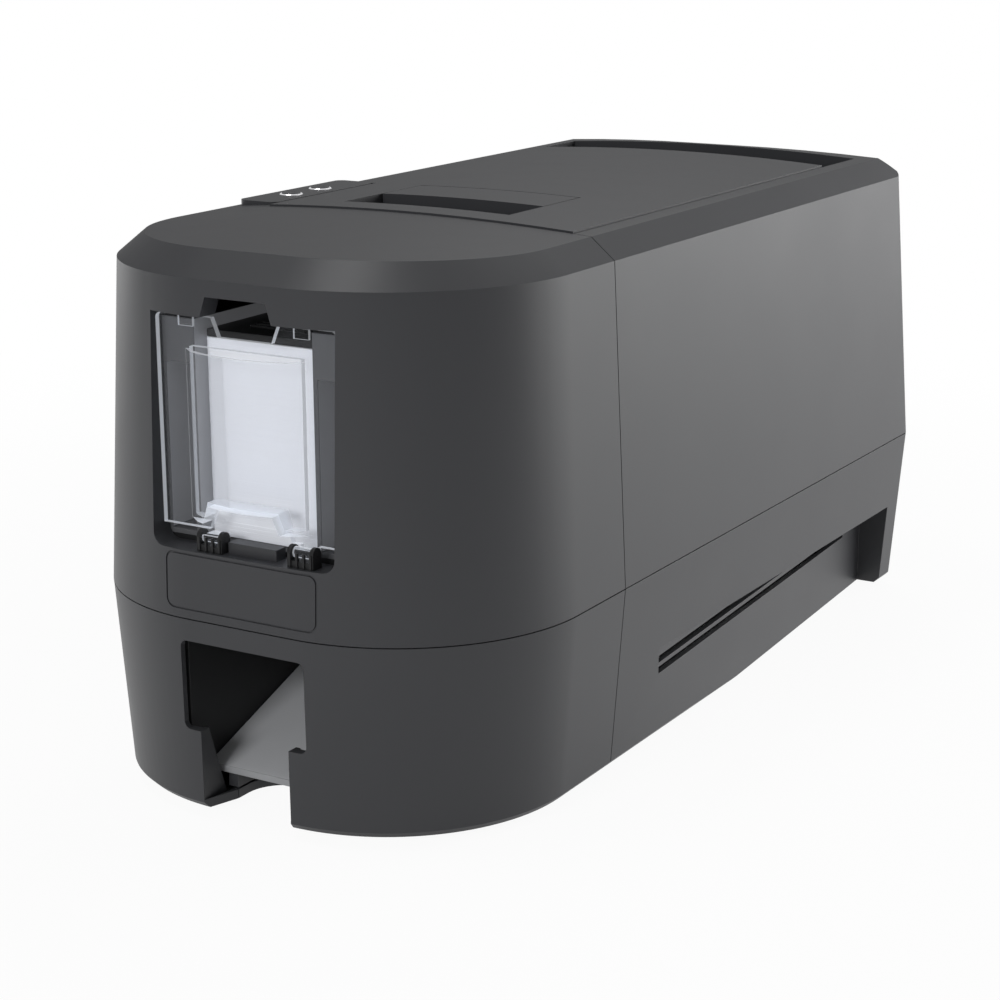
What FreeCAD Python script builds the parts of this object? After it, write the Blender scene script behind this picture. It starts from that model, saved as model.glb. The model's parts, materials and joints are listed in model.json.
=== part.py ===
import FreeCAD, Part
import math
import os
import Sketcher

# Desktop id card printer with a card hopper and an output tray in its front, a lid over its ribbon bay and
# a gear train on its right frame. Millimetres. X is to the right, Y to the rear, Z up. The origin is the
# centre of the footprint, on the surface that the feet stand on.

document = FreeCAD.newDocument("id_card_printer")
sheet = document.addObject("Spreadsheet::Sheet", "Sizes")
rows = []


class Size:
    """A length of the sheet or a sum of them, as a number and as the expression that gives it."""

    def __init__(self, text, value):
        self.text = text
        self.value = float(value)

    def __add__(self, other):
        other = as_size(other)
        return Size(f"({self.text} + {other.text})", self.value + other.value)

    def __radd__(self, other):
        return as_size(other) + self

    def __sub__(self, other):
        other = as_size(other)
        return Size(f"({self.text} - {other.text})", self.value - other.value)

    def __rsub__(self, other):
        return as_size(other) - self

    def __mul__(self, other):
        other = as_size(other)
        return Size(f"({self.text} * {other.text})", self.value * other.value)

    def __rmul__(self, other):
        return as_size(other) * self

    def __truediv__(self, other):
        other = as_size(other)
        return Size(f"({self.text} / {other.text})", self.value / other.value)

    def __neg__(self):
        return Size(f"(0 - {self.text})", -self.value)


def as_size(number):
    if isinstance(number, Size):
        return number
    return Size(repr(number), number)


def root_of(number):
    number = as_size(number)
    return Size(f"sqrt({number.text})", math.sqrt(number.value))


def smaller_of(first, second):
    return Size(f"min({first.text}; {second.text})", min(first.value, second.value))


def size(alias, value):
    """Puts one driving dimension in the sheet."""
    rows.append(alias)
    row = len(rows)
    sheet.set(f"A{row}", alias)
    sheet.set(f"B{row}", str(value))
    sheet.setAlias(f"B{row}", alias)
    return Size(f"Sizes.{alias}", value)


# Overall form, with each draft measured from the split line to the shoulder or to the toe
body_width = size("body_width", 210)
body_depth = size("body_depth", 440)
foot_height = size("foot_height", 4)
split_height = size("split_height", 83.3)
shoulder_rise = size("shoulder_rise", 8.8)
shoulder_slope_share = size("shoulder_slope_share", 1.2)
crown_rise = size("crown_rise", 3.2)
front_crown_rise = size("front_crown_rise", 0.6)
corner_radius = size("corner_radius", 87)
corner_flat = size("corner_flat", 2)
rear_corner_radius = size("rear_corner_radius", 7)
rear_edge_radius = size("rear_edge_radius", 19)
upper_side_draft = size("upper_side_draft", 6.4)
upper_front_draft = size("upper_front_draft", 4.3)
upper_rear_draft = size("upper_rear_draft", 9.4)
lower_side_draft = size("lower_side_draft", 6.4)
lower_front_draft = size("lower_front_draft", 0.7)
lower_rear_draft = size("lower_rear_draft", 0.7)
toe_chamfer = size("toe_chamfer", 2.6)

# Walls and clearances that every piece shares
wall = size("wall", 2.6)
rib_thickness = size("rib_thickness", 2)
seam_gap = size("seam_gap", 0.5)
overrun = size("overrun", 8)
bite = size("bite", 1)
slip = size("slip", 0.3)
running = size("running", 0.05)

# Cards
card_width = size("card_width", 54)
card_length = size("card_length", 85.6)
card_corner = size("card_corner", 3.2)
card_front = size("card_front", 19)
stack_height = size("stack_height", 79)
path_rise = size("path_rise", 29.9)
head_room = size("head_room", 25.3)
seam_setback = size("seam_setback", 15.4)

# Front covers, with the window's margins measured from the cards
window_margin = size("window_margin", 16)
window_drop = size("window_drop", 2.2)
window_rise = size("window_rise", 10.8)
window_corner = size("window_corner", 5)
pocket_width = size("pocket_width", 34)
pocket_top_width = size("pocket_top_width", 28)
pocket_rise = size("pocket_rise", 8)
sill_block_left = size("sill_block_left", 8.5)
sill_block_right = size("sill_block_right", 14.3)
sill_block_rise = size("sill_block_rise", 4.5)
sill_block_front = size("sill_block_front", 6)
sill_block_rear = size("sill_block_rear", 12)
plate_margin = size("plate_margin", 9)
plate_drop = size("plate_drop", 1)
plate_rise = size("plate_rise", 3.7)
plate_corner = size("plate_corner", 4)
plate_line = size("plate_line", 0.8)
plate_groove_depth = size("plate_groove_depth", 0.6)
outlet_margin = size("outlet_margin", 2.5)
outlet_drop = size("outlet_drop", 9.1)
outlet_corner = size("outlet_corner", 3)
lip_overlap = size("lip_overlap", 5.8)
lip_rise = size("lip_rise", 33)
lip_depth = size("lip_depth", 5.5)
lip_toe_depth = size("lip_toe_depth", 16.2)
lip_knee_depth = size("lip_knee_depth", 12.3)
lip_knee_rise = size("lip_knee_rise", 12.2)
notch_depth = size("notch_depth", 39)
notch_half_width = size("notch_half_width", 16)
notch_rim_rise = size("notch_rim_rise", 1.8)

# Side recesses and their vents, with the ends measured from the front and from the rear
recess_start = size("recess_start", 158)
recess_rear_gap = size("recess_rear_gap", 20)
recess_rise = size("recess_rise", 42)
recess_depth = size("recess_depth", 14.5)
recess_flush = size("recess_flush", 2.5)
vent_rear_gap = size("vent_rear_gap", 26)
vent_width = size("vent_width", 3)
vent_pitch = size("vent_pitch", 4.9)
vent_top_drop = size("vent_top_drop", 4)

# Base plate, feet and frames
plate_thickness = size("plate_thickness", 2)
foot_radius = size("foot_radius", 9)
foot_front = size("foot_front", 62)
foot_rear_gap = size("foot_rear_gap", 38)
frame_gap = size("frame_gap", 33)
frame_sheet = size("frame_sheet", 1.6)
frame_front = size("frame_front", 36)
frame_rear_gap = size("frame_rear_gap", 45)
frame_flange = size("frame_flange", 13)
frame_crest = size("frame_crest", 6)
frame_crest_length = size("frame_crest_length", 8)
frame_shoulder = size("frame_shoulder", 12)
frame_waist_drop = size("frame_waist_drop", 18)
tie_rear_gap = size("tie_rear_gap", 60)
tie_rise = size("tie_rise", 134)
rear_flange_gap = size("rear_flange_gap", 16)
rear_flange_rise = size("rear_flange_rise", 56)
rear_flange_inset = size("rear_flange_inset", 10)

# Lid, measured from the cover's side, from the seam, from the rear and from the top edge
lid_side_gap = size("lid_side_gap", 25)
lid_rear_gap = size("lid_rear_gap", 70)
lid_proud = size("lid_proud", 0.8)
lid_skirt = size("lid_skirt", 12.3)
lid_sheet = size("lid_sheet", 1.1)
lid_rib_depth = size("lid_rib_depth", 4)
lid_rib_pitch = size("lid_rib_pitch", 26)
trough_rear_gap = size("trough_rear_gap", 30)
trough_drop = size("trough_drop", 26.3)
trough_hole_length = size("trough_hole_length", 20)
hinge_rear_gap = size("hinge_rear_gap", 82)
hinge_drop = size("hinge_drop", 14.3)
hinge_pin_radius = size("hinge_pin_radius", 3)
hinge_ear_radius = size("hinge_ear_radius", 6.5)
hinge_ear_thickness = size("hinge_ear_thickness", 3)
slot_setback = size("slot_setback", 16)
slot_margin = size("slot_margin", 14)
slot_length = size("slot_length", 29)
flap_length = size("flap_length", 32)
flap_thickness = size("flap_thickness", 2.4)
flap_gap = size("flap_gap", 0.6)
flap_rear_gap = size("flap_rear_gap", 1)
flap_lip = size("flap_lip", 2)
flap_barrel_radius = size("flap_barrel_radius", 1.6)
flap_barrel_length = size("flap_barrel_length", 8)
flap_pin_radius = size("flap_pin_radius", 0.8)
flap_pin_length = size("flap_pin_length", 3)
flap_axis_drop = size("flap_axis_drop", 2.8)
liner_drop = size("liner_drop", 14.3)
liner_wall = size("liner_wall", 1.8)
liner_rib_drop = size("liner_rib_drop", 5)

# Latch bar under the lid and its catches on the frames
bar_setback = size("bar_setback", 8)
bar_drop = size("bar_drop", 10.3)
bar_radius = size("bar_radius", 2.5)
bar_end_radius = size("bar_end_radius", 1.8)
hook_gap = size("hook_gap", 18.2)
hook_thickness = size("hook_thickness", 4)
hook_length = size("hook_length", 18)
hook_toe = size("hook_toe", 1)
hook_toe_height = size("hook_toe_height", 2.5)
hook_toe_slope = size("hook_toe_slope", 1.5)
catch_setback = size("catch_setback", 6.8)
catch_drop = size("catch_drop", 13)
catch_radius = size("catch_radius", 2.5)

# Button pod
pod_side_gap = size("pod_side_gap", 16.5)
pod_width = size("pod_width", 19.5)
pod_setback = size("pod_setback", 4)
pod_length = size("pod_length", 77)
pod_rise = size("pod_rise", 2.3)
pod_corner = size("pod_corner", 4)
user_button_setback = size("user_button_setback", 30)
power_button_setback = size("power_button_setback", 52)
button_radius = size("button_radius", 4.2)
button_proud = size("button_proud", 0.8)
button_drop = size("button_drop", 0.6)
button_flange_radius = size("button_flange_radius", 5)
button_flange_height = size("button_flange_height", 1.2)
button_stem_length = size("button_stem_length", 6.6)
ring_width = size("ring_width", 0.9)
ring_proud = size("ring_proud", 0.4)
switch_board_drop = size("switch_board_drop", 12.3)
switch_size = size("switch_size", 6)
switch_height = size("switch_height", 2)
board_thickness = size("board_thickness", 1.6)

# Card hopper
hopper_clearance = size("hopper_clearance", 0.7)
housing_front = size("housing_front", 14)
housing_side = size("housing_side", 17)
housing_rise = size("housing_rise", 7.8)
housing_wall = size("housing_wall", 2.2)
side_pocket_drop = size("side_pocket_drop", 18)
gate_height = size("gate_height", 1.4)
floor_thickness = size("floor_thickness", 3.2)
floor_setback = size("floor_setback", 11.4)

# Clear hopper door, which stands on the left and right hinge clips
door_front = size("door_front", 9.2)
door_thickness = size("door_thickness", 2.2)
door_gap = size("door_gap", 0.8)
door_rise = size("door_rise", 5.3)
door_notch_width = size("door_notch_width", 31)
door_notch_low_width = size("door_notch_low_width", 25)
door_notch_depth = size("door_notch_depth", 7.4)
door_nub_start = size("door_nub_start", 23.5)
door_nub_length = size("door_nub_length", 7)
door_nub_height = size("door_nub_height", 4)
door_nub_proud = size("door_nub_proud", 1)
bow_spread = size("bow_spread", 1)
bow_corner_inset = size("bow_corner_inset", 6)
bow_corner_depth = size("bow_corner_depth", 4.7)
bow_depth = size("bow_depth", 8.7)
bow_wall = size("bow_wall", 1.8)
bow_rise = size("bow_rise", 9.1)
bow_top_drop = size("bow_top_drop", 12.9)
arch_low_width = size("arch_low_width", 40)
arch_high_width = size("arch_high_width", 31)
arch_rise = size("arch_rise", 11)
arch_rim = size("arch_rim", 1.2)
door_axis_place = size("door_axis_place", 5.8)
door_axis_rise = size("door_axis_rise", 3.4)
door_barrel_radius = size("door_barrel_radius", 2.2)
door_pin_radius = size("door_pin_radius", 1.1)
left_clip_place = size("left_clip_place", 15.5)
right_clip_place = size("right_clip_place", 27.5)
clip_width = size("clip_width", 12)
clip_ear = size("clip_ear", 1.8)
clip_rim = size("clip_rim", 0.6)

# Output channel and tray
outlet_liner_wall = size("outlet_liner_wall", 2)
outlet_liner_front = size("outlet_liner_front", 5.2)
tray_front = size("tray_front", 15)
tray_lip_rise = size("tray_lip_rise", 10.8)
tray_lip_height = size("tray_lip_height", 3.8)
tray_rear_drop = size("tray_rear_drop", 21)
tray_thickness = size("tray_thickness", 2.4)
tray_apron_gap = size("tray_apron_gap", 0.8)

# Rollers, gears and their motor
roller_radius = size("roller_radius", 7)
nip = size("nip", 0.2)
roller_margin = size("roller_margin", 1)
pick_roller_width = size("pick_roller_width", 24)
shaft_radius = size("shaft_radius", 3)
shaft_end = size("shaft_end", 1.5)
gear_gap = size("gear_gap", 2.2)
gear_width = size("gear_width", 6)
gear_module = size("gear_module", 1)
addendum_share = size("addendum_share", 0.9)
dedendum_share = size("dedendum_share", 1.15)
tooth_root_share = size("tooth_root_share", 0.95)
tooth_tip_share = size("tooth_tip_share", 0.3)
stud_radius = size("stud_radius", 2)
feed_setback = size("feed_setback", 23.4)
guide_length = size("guide_length", 146)
guide_thickness = size("guide_thickness", 2)
guide_drop = size("guide_drop", 0.4)
roller_slot_inset = size("roller_slot_inset", 0.6)
motor_radius = size("motor_radius", 17.5)
motor_length = size("motor_length", 39)
motor_flange = size("motor_flange", 3)
motor_ear = size("motor_ear", 4)
motor_shaft_radius = size("motor_shaft_radius", 2.5)
motor_shaft_length = size("motor_shaft_length", 10)

# Print head and ribbon cassette, measured from the platen roller and the card path
head_side = size("head_side", 17)
head_half_length = size("head_half_length", 7)
head_arm_thickness = size("head_arm_thickness", 3)
head_arm_setback = size("head_arm_setback", 22)
head_arm_length = size("head_arm_length", 14)
head_plate_rise = size("head_plate_rise", 10.8)
head_plate_thickness = size("head_plate_thickness", 6)
head_lead = size("head_lead", 4)
cassette_gap = size("cassette_gap", 15.2)
cassette_sheet = size("cassette_sheet", 2.5)
cassette_front_reach = size("cassette_front_reach", 19)
cassette_rear_reach = size("cassette_rear_reach", 88)
cassette_rise = size("cassette_rise", 36.8)
cassette_toe = size("cassette_toe", 10)
cassette_shoulder = size("cassette_shoulder", 20)
cassette_horn = size("cassette_horn", 12)
takeup_setback = size("takeup_setback", 4)
takeup_rise = size("takeup_rise", 64.8)
supply_setback = size("supply_setback", 64)
supply_rise = size("supply_rise", 54.8)
spool_core_radius = size("spool_core_radius", 8)
spool_shaft_radius = size("spool_shaft_radius", 3)
spool_flange_rim = size("spool_flange_rim", 2)
spool_flange_width = size("spool_flange_width", 2)
ribbon_margin = size("ribbon_margin", 3)
supply_roll_radius = size("supply_roll_radius", 17)
takeup_roll_radius = size("takeup_roll_radius", 11)
crossbar_radius = size("crossbar_radius", 3)
crossbar_inset = size("crossbar_inset", 5)

# Circuit boards and ports, with the rear ones measured from the rear
main_board_rise = size("main_board_rise", 14)
main_board_height = size("main_board_height", 80)
main_board_length = size("main_board_length", 180)
main_board_rear_gap = size("main_board_rear_gap", 110)
chip_size = size("chip_size", 18)
chip_height = size("chip_height", 2.5)
standoff_length = size("standoff_length", 10)
standoff_radius = size("standoff_radius", 2.5)
standoff_inset = size("standoff_inset", 8)
port_board_rise = size("port_board_rise", 10)
port_board_height = size("port_board_height", 34)
port_board_inset = size("port_board_inset", 14)
port_rise = size("port_rise", 16)
port_face_gap = size("port_face_gap", 1)
port_recess = size("port_recess", 7)
port_rim = size("port_rim", 1.4)
inlet_inset = size("inlet_inset", 28)
inlet_width = size("inlet_width", 12)
inlet_height = size("inlet_height", 12)
inlet_bore = size("inlet_bore", 3)
usb_place = size("usb_place", 8)
usb_width = size("usb_width", 12)
usb_height = size("usb_height", 11)
network_inset = size("network_inset", 44)
network_width = size("network_width", 16)
network_height = size("network_height", 14)

document.recompute()

# Places that several pieces share
half_width = body_width / 2
front = -(body_depth / 2)
rear = body_depth / 2
base_top = foot_height + plate_thickness
card_half = card_width / 2
card_rear = front + card_front + card_length
path_height = split_height + path_rise
stack_top = path_height + stack_height
shoulder_height = stack_top + head_room
edge_height = shoulder_height + shoulder_rise
over_top = edge_height + overrun * 2
seam = card_rear + seam_setback
cover_end = seam - seam_gap / 2
rear_start = seam + seam_gap / 2
frame_side = half_width - frame_gap
frame_inner = frame_side - frame_sheet / 2
frame_outer = frame_side + frame_sheet / 2
hinge_y = rear - hinge_rear_gap
hinge_height = edge_height - hinge_drop
lid_ceiling = edge_height - lid_sheet
through_front = (front - overrun, front + frame_front)
across = (-half_width - overrun, half_width + overrun)
along = (front - overrun, rear + overrun)


def bind(item, name, value):
    item.setExpression(name, as_size(value).text)


def place(item, x, y, z):
    bind(item, "Placement.Base.x", x)
    bind(item, "Placement.Base.y", y)
    bind(item, "Placement.Base.z", z)


def box(name, x, y, z):
    """A block between the low and the high value of each axis."""
    item = document.addObject("Part::Box", name)
    bind(item, "Length", x[1] - x[0])
    bind(item, "Width", y[1] - y[0])
    bind(item, "Height", z[1] - z[0])
    place(item, x[0], y[0], z[0])
    return item


def rod(name, x, y, z, radius):
    """A cylinder along the axis whose value is a pair, with the others as its centre line."""
    item = document.addObject("Part::Cylinder", name)
    bind(item, "Radius", radius)
    spans = [x, y, z]
    run = [index for index, span in enumerate(spans) if isinstance(span, tuple)][0]
    axis = FreeCAD.Vector(*[1.0 if index == run else 0.0 for index in range(3)])
    turn = FreeCAD.Rotation(FreeCAD.Vector(0, 0, 1), axis)
    item.Placement = FreeCAD.Placement(FreeCAD.Vector(), turn)
    low, high = spans[run]
    bind(item, "Height", high - low)
    spans[run] = low
    place(item, *spans)
    return item


def both_sides(half):
    """The span from one side of the middle plane to the other."""
    return (-half, half)


def about(middle, half):
    return (middle - half, middle + half)


def grown(span, amount):
    return (span[0] - amount, span[1] + amount)


def fuse(name, *items):
    item = document.addObject("Part::MultiFuse", name)
    item.Shapes = list(items)
    return item


def common(name, *items):
    item = document.addObject("Part::MultiCommon", name)
    item.Shapes = list(items)
    return item


def cut(name, base, *tools):
    item = document.addObject("Part::Cut", name)
    item.Base = base
    item.Tool = tools[0] if len(tools) == 1 else fuse(name + "_tools", *tools)
    return item


def mirror(name, source):
    """The left-hand copy of a right-hand piece."""
    item = document.addObject("Part::Mirroring", name)
    item.Source = source
    item.Normal = FreeCAD.Vector(1, 0, 0)
    return item


def pair(name, source):
    return fuse(name, source, mirror(name + "_mirrored", source))


def origin_plane(body, role):
    return [feature for feature in body.Origin.OriginFeatures if feature.Role == role][0]


def pin_point(sketch, edge, end, u, v):
    """Fixes one end of an edge at a named place from the sketch's origin."""
    for kind, value in (("DistanceX", u), ("DistanceY", v)):
        index = sketch.addConstraint(Sketcher.Constraint(kind, -1, 1, edge, end, as_size(value).value))
        bind(sketch, f"Constraints[{index}]", value)


def polygon(sketch, points):
    count = len(points)
    corners = [FreeCAD.Vector(as_size(u).value, as_size(v).value, 0) for u, v in points]
    for index in range(count):
        sketch.addGeometry(Part.LineSegment(corners[index], corners[(index + 1) % count]))
    for index in range(count):
        sketch.addConstraint(Sketcher.Constraint("Coincident", index, 2, (index + 1) % count, 1))
    for index, (u, v) in enumerate(points):
        pin_point(sketch, index, 1, u, v)


def circle(sketch, u, v, radius):
    centre = FreeCAD.Vector(as_size(u).value, as_size(v).value, 0)
    edge = sketch.addGeometry(Part.Circle(centre, FreeCAD.Vector(0, 0, 1), radius.value))
    pin_point(sketch, edge, 3, u, v)
    index = sketch.addConstraint(Sketcher.Constraint("Radius", edge, radius.value))
    bind(sketch, f"Constraints[{index}]", radius)


def prism(name, plane, points, span, holes=(), rounding=None, corners=None):
    """A padded outline on the YZ, XZ or XY plane, between two values of the axis across the plane."""
    body = document.addObject("PartDesign::Body", name)
    sketch = body.newObject("Sketcher::SketchObject", name + "_outline")
    sketch.AttachmentSupport = [(origin_plane(body, plane + "_Plane"), "")]
    sketch.MapMode = "FlatFace"
    polygon(sketch, points)
    for u, v, radius in holes:
        circle(sketch, u, v, radius)
    pad = body.newObject("PartDesign::Pad", name + "_pad")
    pad.Profile = sketch
    pad.Reversed = plane == "XZ"
    bind(pad, "Length", span[1] - span[0])
    low = span[0]
    place(body, low if plane == "YZ" else 0, low if plane == "XZ" else 0, low if plane == "XY" else 0)
    body.Tip = pad
    if rounding is not None:
        document.recompute()
        chosen = points if corners is None else [points[index] for index in corners]
        first, second = {"YZ": ("y", "z"), "XZ": ("x", "z"), "XY": ("x", "y")}[plane]
        places = [(as_size(u).value, as_size(v).value) for u, v in chosen]

        def runs_across(start, end):
            ends = [(getattr(point, first), getattr(point, second)) for point in (start, end)]
            return any(max(math.dist(ends[0], spot), math.dist(ends[1], spot)) < 0.001 for spot in places)

        round_edges(body, pad, "rounding", rounding, runs_across)
    return body


def round_edges(body, base, name, radius, chosen):
    """Rounds the edges whose two ends pass the test."""
    names = []
    for number, edge in enumerate(base.Shape.Edges, 1):
        if len(edge.Vertexes) == 2 and chosen(*[vertex.Point for vertex in edge.Vertexes]):
            names.append(f"Edge{number}")
    fillet = body.newObject("PartDesign::Fillet", f"{body.Name}_{name}")
    fillet.Base = (base, names)
    bind(fillet, "Radius", radius)
    body.Tip = fillet
    document.recompute()
    return fillet


def rectangle(u, v):
    return [(u[0], v[0]), (u[1], v[0]), (u[1], v[1]), (u[0], v[1])]


def loft(name, sections):
    item = document.addObject("Part::Loft", name)
    item.Sections = sections
    item.Solid = True
    item.Ruled = True
    return item


# The forms that the covers are cut from
def walls(name, inset, z, reference, drafts):
    """Four leaning sides with rounded corners; they lean in by the drafts from the split to the reference."""
    side_draft, front_draft, rear_draft = drafts

    def lean(draft, height):
        return draft * (height - split_height) / (reference - split_height)

    sides = []
    ends = []
    for low, high in ((0, 1), (1, 0)):
        sign = 1 if low else -1
        for height in (z[low], z[high]):
            sides.append(((half_width - inset - lean(side_draft, height)) * sign, height))
            if low:
                ends.append((rear - inset - lean(rear_draft, height), height))
            else:
                ends.append((front + inset + lean(front_draft, height), height))
    blank = common(name + "_blank", prism(name + "_sides", "XZ", sides, along),
                   prism(name + "_ends", "YZ", ends, across))
    document.recompute()
    body = document.addObject("PartDesign::Body", name)
    base = body.newObject("PartDesign::FeatureBase", name + "_base")
    base.BaseFeature = blank
    body.Tip = base
    document.recompute()
    narrow = half_width - side_draft - shoulder_rise - overrun - corner_flat
    turned = round_edges(body, base, "front_rounding", smaller_of(corner_radius, narrow) - inset,
                         lambda start, end: abs(start.z - end.z) > 1 and start.y < 0)
    round_edges(body, turned, "rear_rounding", rear_corner_radius - inset,
                lambda start, end: abs(start.z - end.z) > 1 and min(start.y, end.y) > rear.value / 2
                and abs(start.y - end.y) < rear.value / 4)
    return body


def flared_section(name, height, half, low, radius):
    """A rounded front and straight sides that run past the rear."""
    sketch = document.addObject("Sketcher::SketchObject", name)
    place(sketch, 0, 0, height)
    flat = half - radius
    turn = low + radius
    end = rear + overrun
    x, c, r, y = half.value, flat.value, radius.value, turn.value
    up = FreeCAD.Vector(0, 0, 1)
    lines = {
        0: (-flat, low, flat, low), 2: (half, turn, half, end),
        3: (half, end, -half, end), 4: (-half, end, -half, turn),
    }
    arcs = {1: (c, -math.pi / 2, 0), 5: (-c, -math.pi, -math.pi / 2)}
    for index in range(6):
        if index in arcs:
            middle, start, stop = arcs[index]
            ring = Part.Circle(FreeCAD.Vector(middle, y, 0), up, r)
            sketch.addGeometry(Part.ArcOfCircle(ring, start, stop))
        else:
            u, v, s, t = [as_size(value).value for value in lines[index]]
            sketch.addGeometry(Part.LineSegment(FreeCAD.Vector(u, v, 0), FreeCAD.Vector(s, t, 0)))
    for edge, kind in ((0, "Tangent"), (1, "Coincident"), (2, "Coincident"), (3, "Coincident"), (4, "Coincident"),
                       (5, "Tangent")):
        sketch.addConstraint(Sketcher.Constraint(kind, edge, 2, (edge + 1) % 6, 1))
    for edge, end_number, corner in ((0, 1, lines[0][:2]), (0, 2, lines[0][2:]), (2, 1, lines[2][:2]),
                                     (3, 1, lines[3][:2]), (3, 2, lines[3][2:]), (4, 2, lines[4][2:])):
        pin_point(sketch, edge, end_number, *corner)
    return sketch


def flare(name, inset, half, low, stations):
    """A rounded front and sides whose sections grow and shrink round the same centres."""
    radius = smaller_of(corner_radius, half - shoulder_rise - overrun - corner_flat) - inset
    sections = []
    for number, (height, growth) in enumerate(stations):
        sections.append(flared_section(f"{name}_{number}", height, half - inset + growth, low + inset - growth,
                                       radius + growth))
    return loft(name, sections)


def crown_section(name, y, rise, drop):
    """A cross section whose top is a shallow arc that ends at the shoulders."""
    sketch = document.addObject("Sketcher::SketchObject", name)
    turn = FreeCAD.Rotation(FreeCAD.Vector(1, 0, 0), 90)
    sketch.Placement = FreeCAD.Placement(FreeCAD.Vector(), turn)
    place(sketch, 0, y, 0)
    reach = half_width + overrun
    high = edge_height - drop
    half = half_width - upper_side_draft - shoulder_rise * shoulder_slope_share
    radius = (half * half + rise * rise) / (rise * 2)
    corners = [(-reach, 0), (reach, 0), (reach, high), (half, high), (-half, high), (-reach, high)]
    points = [FreeCAD.Vector(as_size(u).value, as_size(v).value, 0) for u, v in corners]
    for index in (0, 1, 2, 4, 5):
        sketch.addGeometry(Part.LineSegment(points[index], points[(index + 1) % 6]))
    centre = FreeCAD.Vector(0, high.value + rise.value - radius.value, 0)
    start = math.atan2(high.value - centre.y, half.value)
    ring = Part.Circle(centre, FreeCAD.Vector(0, 0, 1), radius.value)
    sketch.addGeometry(Part.ArcOfCircle(ring, start, math.pi - start))
    for edge, end, other, other_end in ((0, 2, 1, 1), (1, 2, 2, 1), (3, 2, 4, 1), (4, 2, 0, 1),
                                        (2, 2, 5, 1), (5, 2, 3, 1)):
        sketch.addConstraint(Sketcher.Constraint("Coincident", edge, end, other, other_end))
    for edge, end, corner in ((0, 1, 0), (0, 2, 1), (1, 2, 2), (2, 2, 3), (3, 1, 4), (3, 2, 5)):
        pin_point(sketch, edge, end, *corners[corner])
    index = sketch.addConstraint(Sketcher.Constraint("Radius", 5, radius.value))
    bind(sketch, f"Constraints[{index}]", radius)
    return sketch


def crown(name, drop):
    """Everything under the crowned top, which rises from the front edge to the seam."""
    stations = ((front - overrun, front_crown_rise), (seam, crown_rise), (rear + overrun, crown_rise))
    sections = [crown_section(f"{name}_{index}", y, rise, drop) for index, (y, rise) in enumerate(stations)]
    return loft(name, sections)


def rear_edge(name, inset):
    """What lies outside the rounded edge between the top and the rear."""
    radius = rear_edge_radius - inset
    middle_z = edge_height + crown_rise - inset - radius
    lean = upper_rear_draft * (middle_z - split_height) / (shoulder_height - split_height)
    middle_y = rear - lean - inset - radius
    block = box(name + "_block", across, (middle_y, rear + overrun), (middle_z, over_top))
    drum = rod(name + "_drum", grown(across, overrun), middle_y, middle_z, radius)
    return cut(name, block, drum)


def upper_body(name, inset, low):
    """The upper body's solid form, drawn in by a wall's thickness or by nothing."""
    drafts = (upper_side_draft, upper_front_draft, upper_rear_draft)
    sides = walls(name + "_walls", inset, (low, edge_height + overrun), shoulder_height, drafts)
    skirt = overrun * 2
    slope = shoulder_slope_share
    roof = flare(name + "_roof", inset, half_width - upper_side_draft, front + upper_front_draft,
                 [(low - bite, skirt * slope), (shoulder_height - skirt, skirt * slope),
                  (edge_height + overrun, -((shoulder_rise + overrun) * slope))])
    crowned = common(name + "_crowned", sides, roof, crown(name + "_crown", inset))
    return cut(name, crowned, rear_edge(name + "_rear", inset))


def lower_body(name, inset, z):
    """The lower body's solid form, with its front and side toe chamfered."""
    drafts = (lower_side_draft, lower_front_draft, lower_rear_draft)
    sides = walls(name + "_walls", inset, z, foot_height, drafts)
    toe = flare(name + "_toe", inset, half_width - lower_side_draft, front + lower_front_draft,
                [(foot_height - bite, -(toe_chamfer + bite)), (foot_height + toe_chamfer + overrun, overrun),
                 (z[1] + bite, overrun)])
    return common(name, sides, toe)


upper_outer = upper_body("upper_outer", as_size(0), split_height)
upper_inner = upper_body("upper_inner", wall, split_height - bite)
lower_outer = lower_body("lower_outer", as_size(0), (foot_height, split_height))
lower_inner = lower_body("lower_inner", wall, (foot_height - bite, split_height + bite))
upper_shell = cut("upper_shell", upper_outer, upper_inner)
lower_shell = cut("lower_shell", lower_outer, lower_inner)
above_split = (split_height + seam_gap / 2, over_top)
below_split = (as_size(0), split_height - seam_gap / 2)
front_zone = box("front_zone", across, (front - overrun, cover_end), above_split)
rear_zone = box("rear_zone", across, (rear_start, rear + overrun), above_split)
front_low_zone = box("front_low_zone", across, (front - overrun, cover_end), below_split)
rear_low_zone = box("rear_low_zone", across, (rear_start, rear + overrun), below_split)

# Front upper cover: the window runs back to the card hopper through a return, with the door's sill in it
window_half = card_half + window_margin
window_low = path_height - window_drop
window_high = stack_top + window_rise
pocket_high = window_high + pocket_rise
hopper_front = front + housing_front
return_end = hopper_front - slip


def window_form(name, grow, y):
    """The window with the finger pocket over it, grown by the thickness of its return."""
    opening = prism(name + "_opening", "XZ",
                    rectangle(both_sides(window_half + grow), (window_low - grow, window_high + grow)), y,
                    rounding=window_corner + grow, corners=(0, 1))
    pocket_points = [(-pocket_width / 2 - grow, window_high - bite), (pocket_width / 2 + grow, window_high - bite),
                     (pocket_top_width / 2 + grow, pocket_high + grow),
                     (-pocket_top_width / 2 - grow, pocket_high + grow)]
    return fuse(name, opening, prism(name + "_pocket", "XZ", pocket_points, y))


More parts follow.
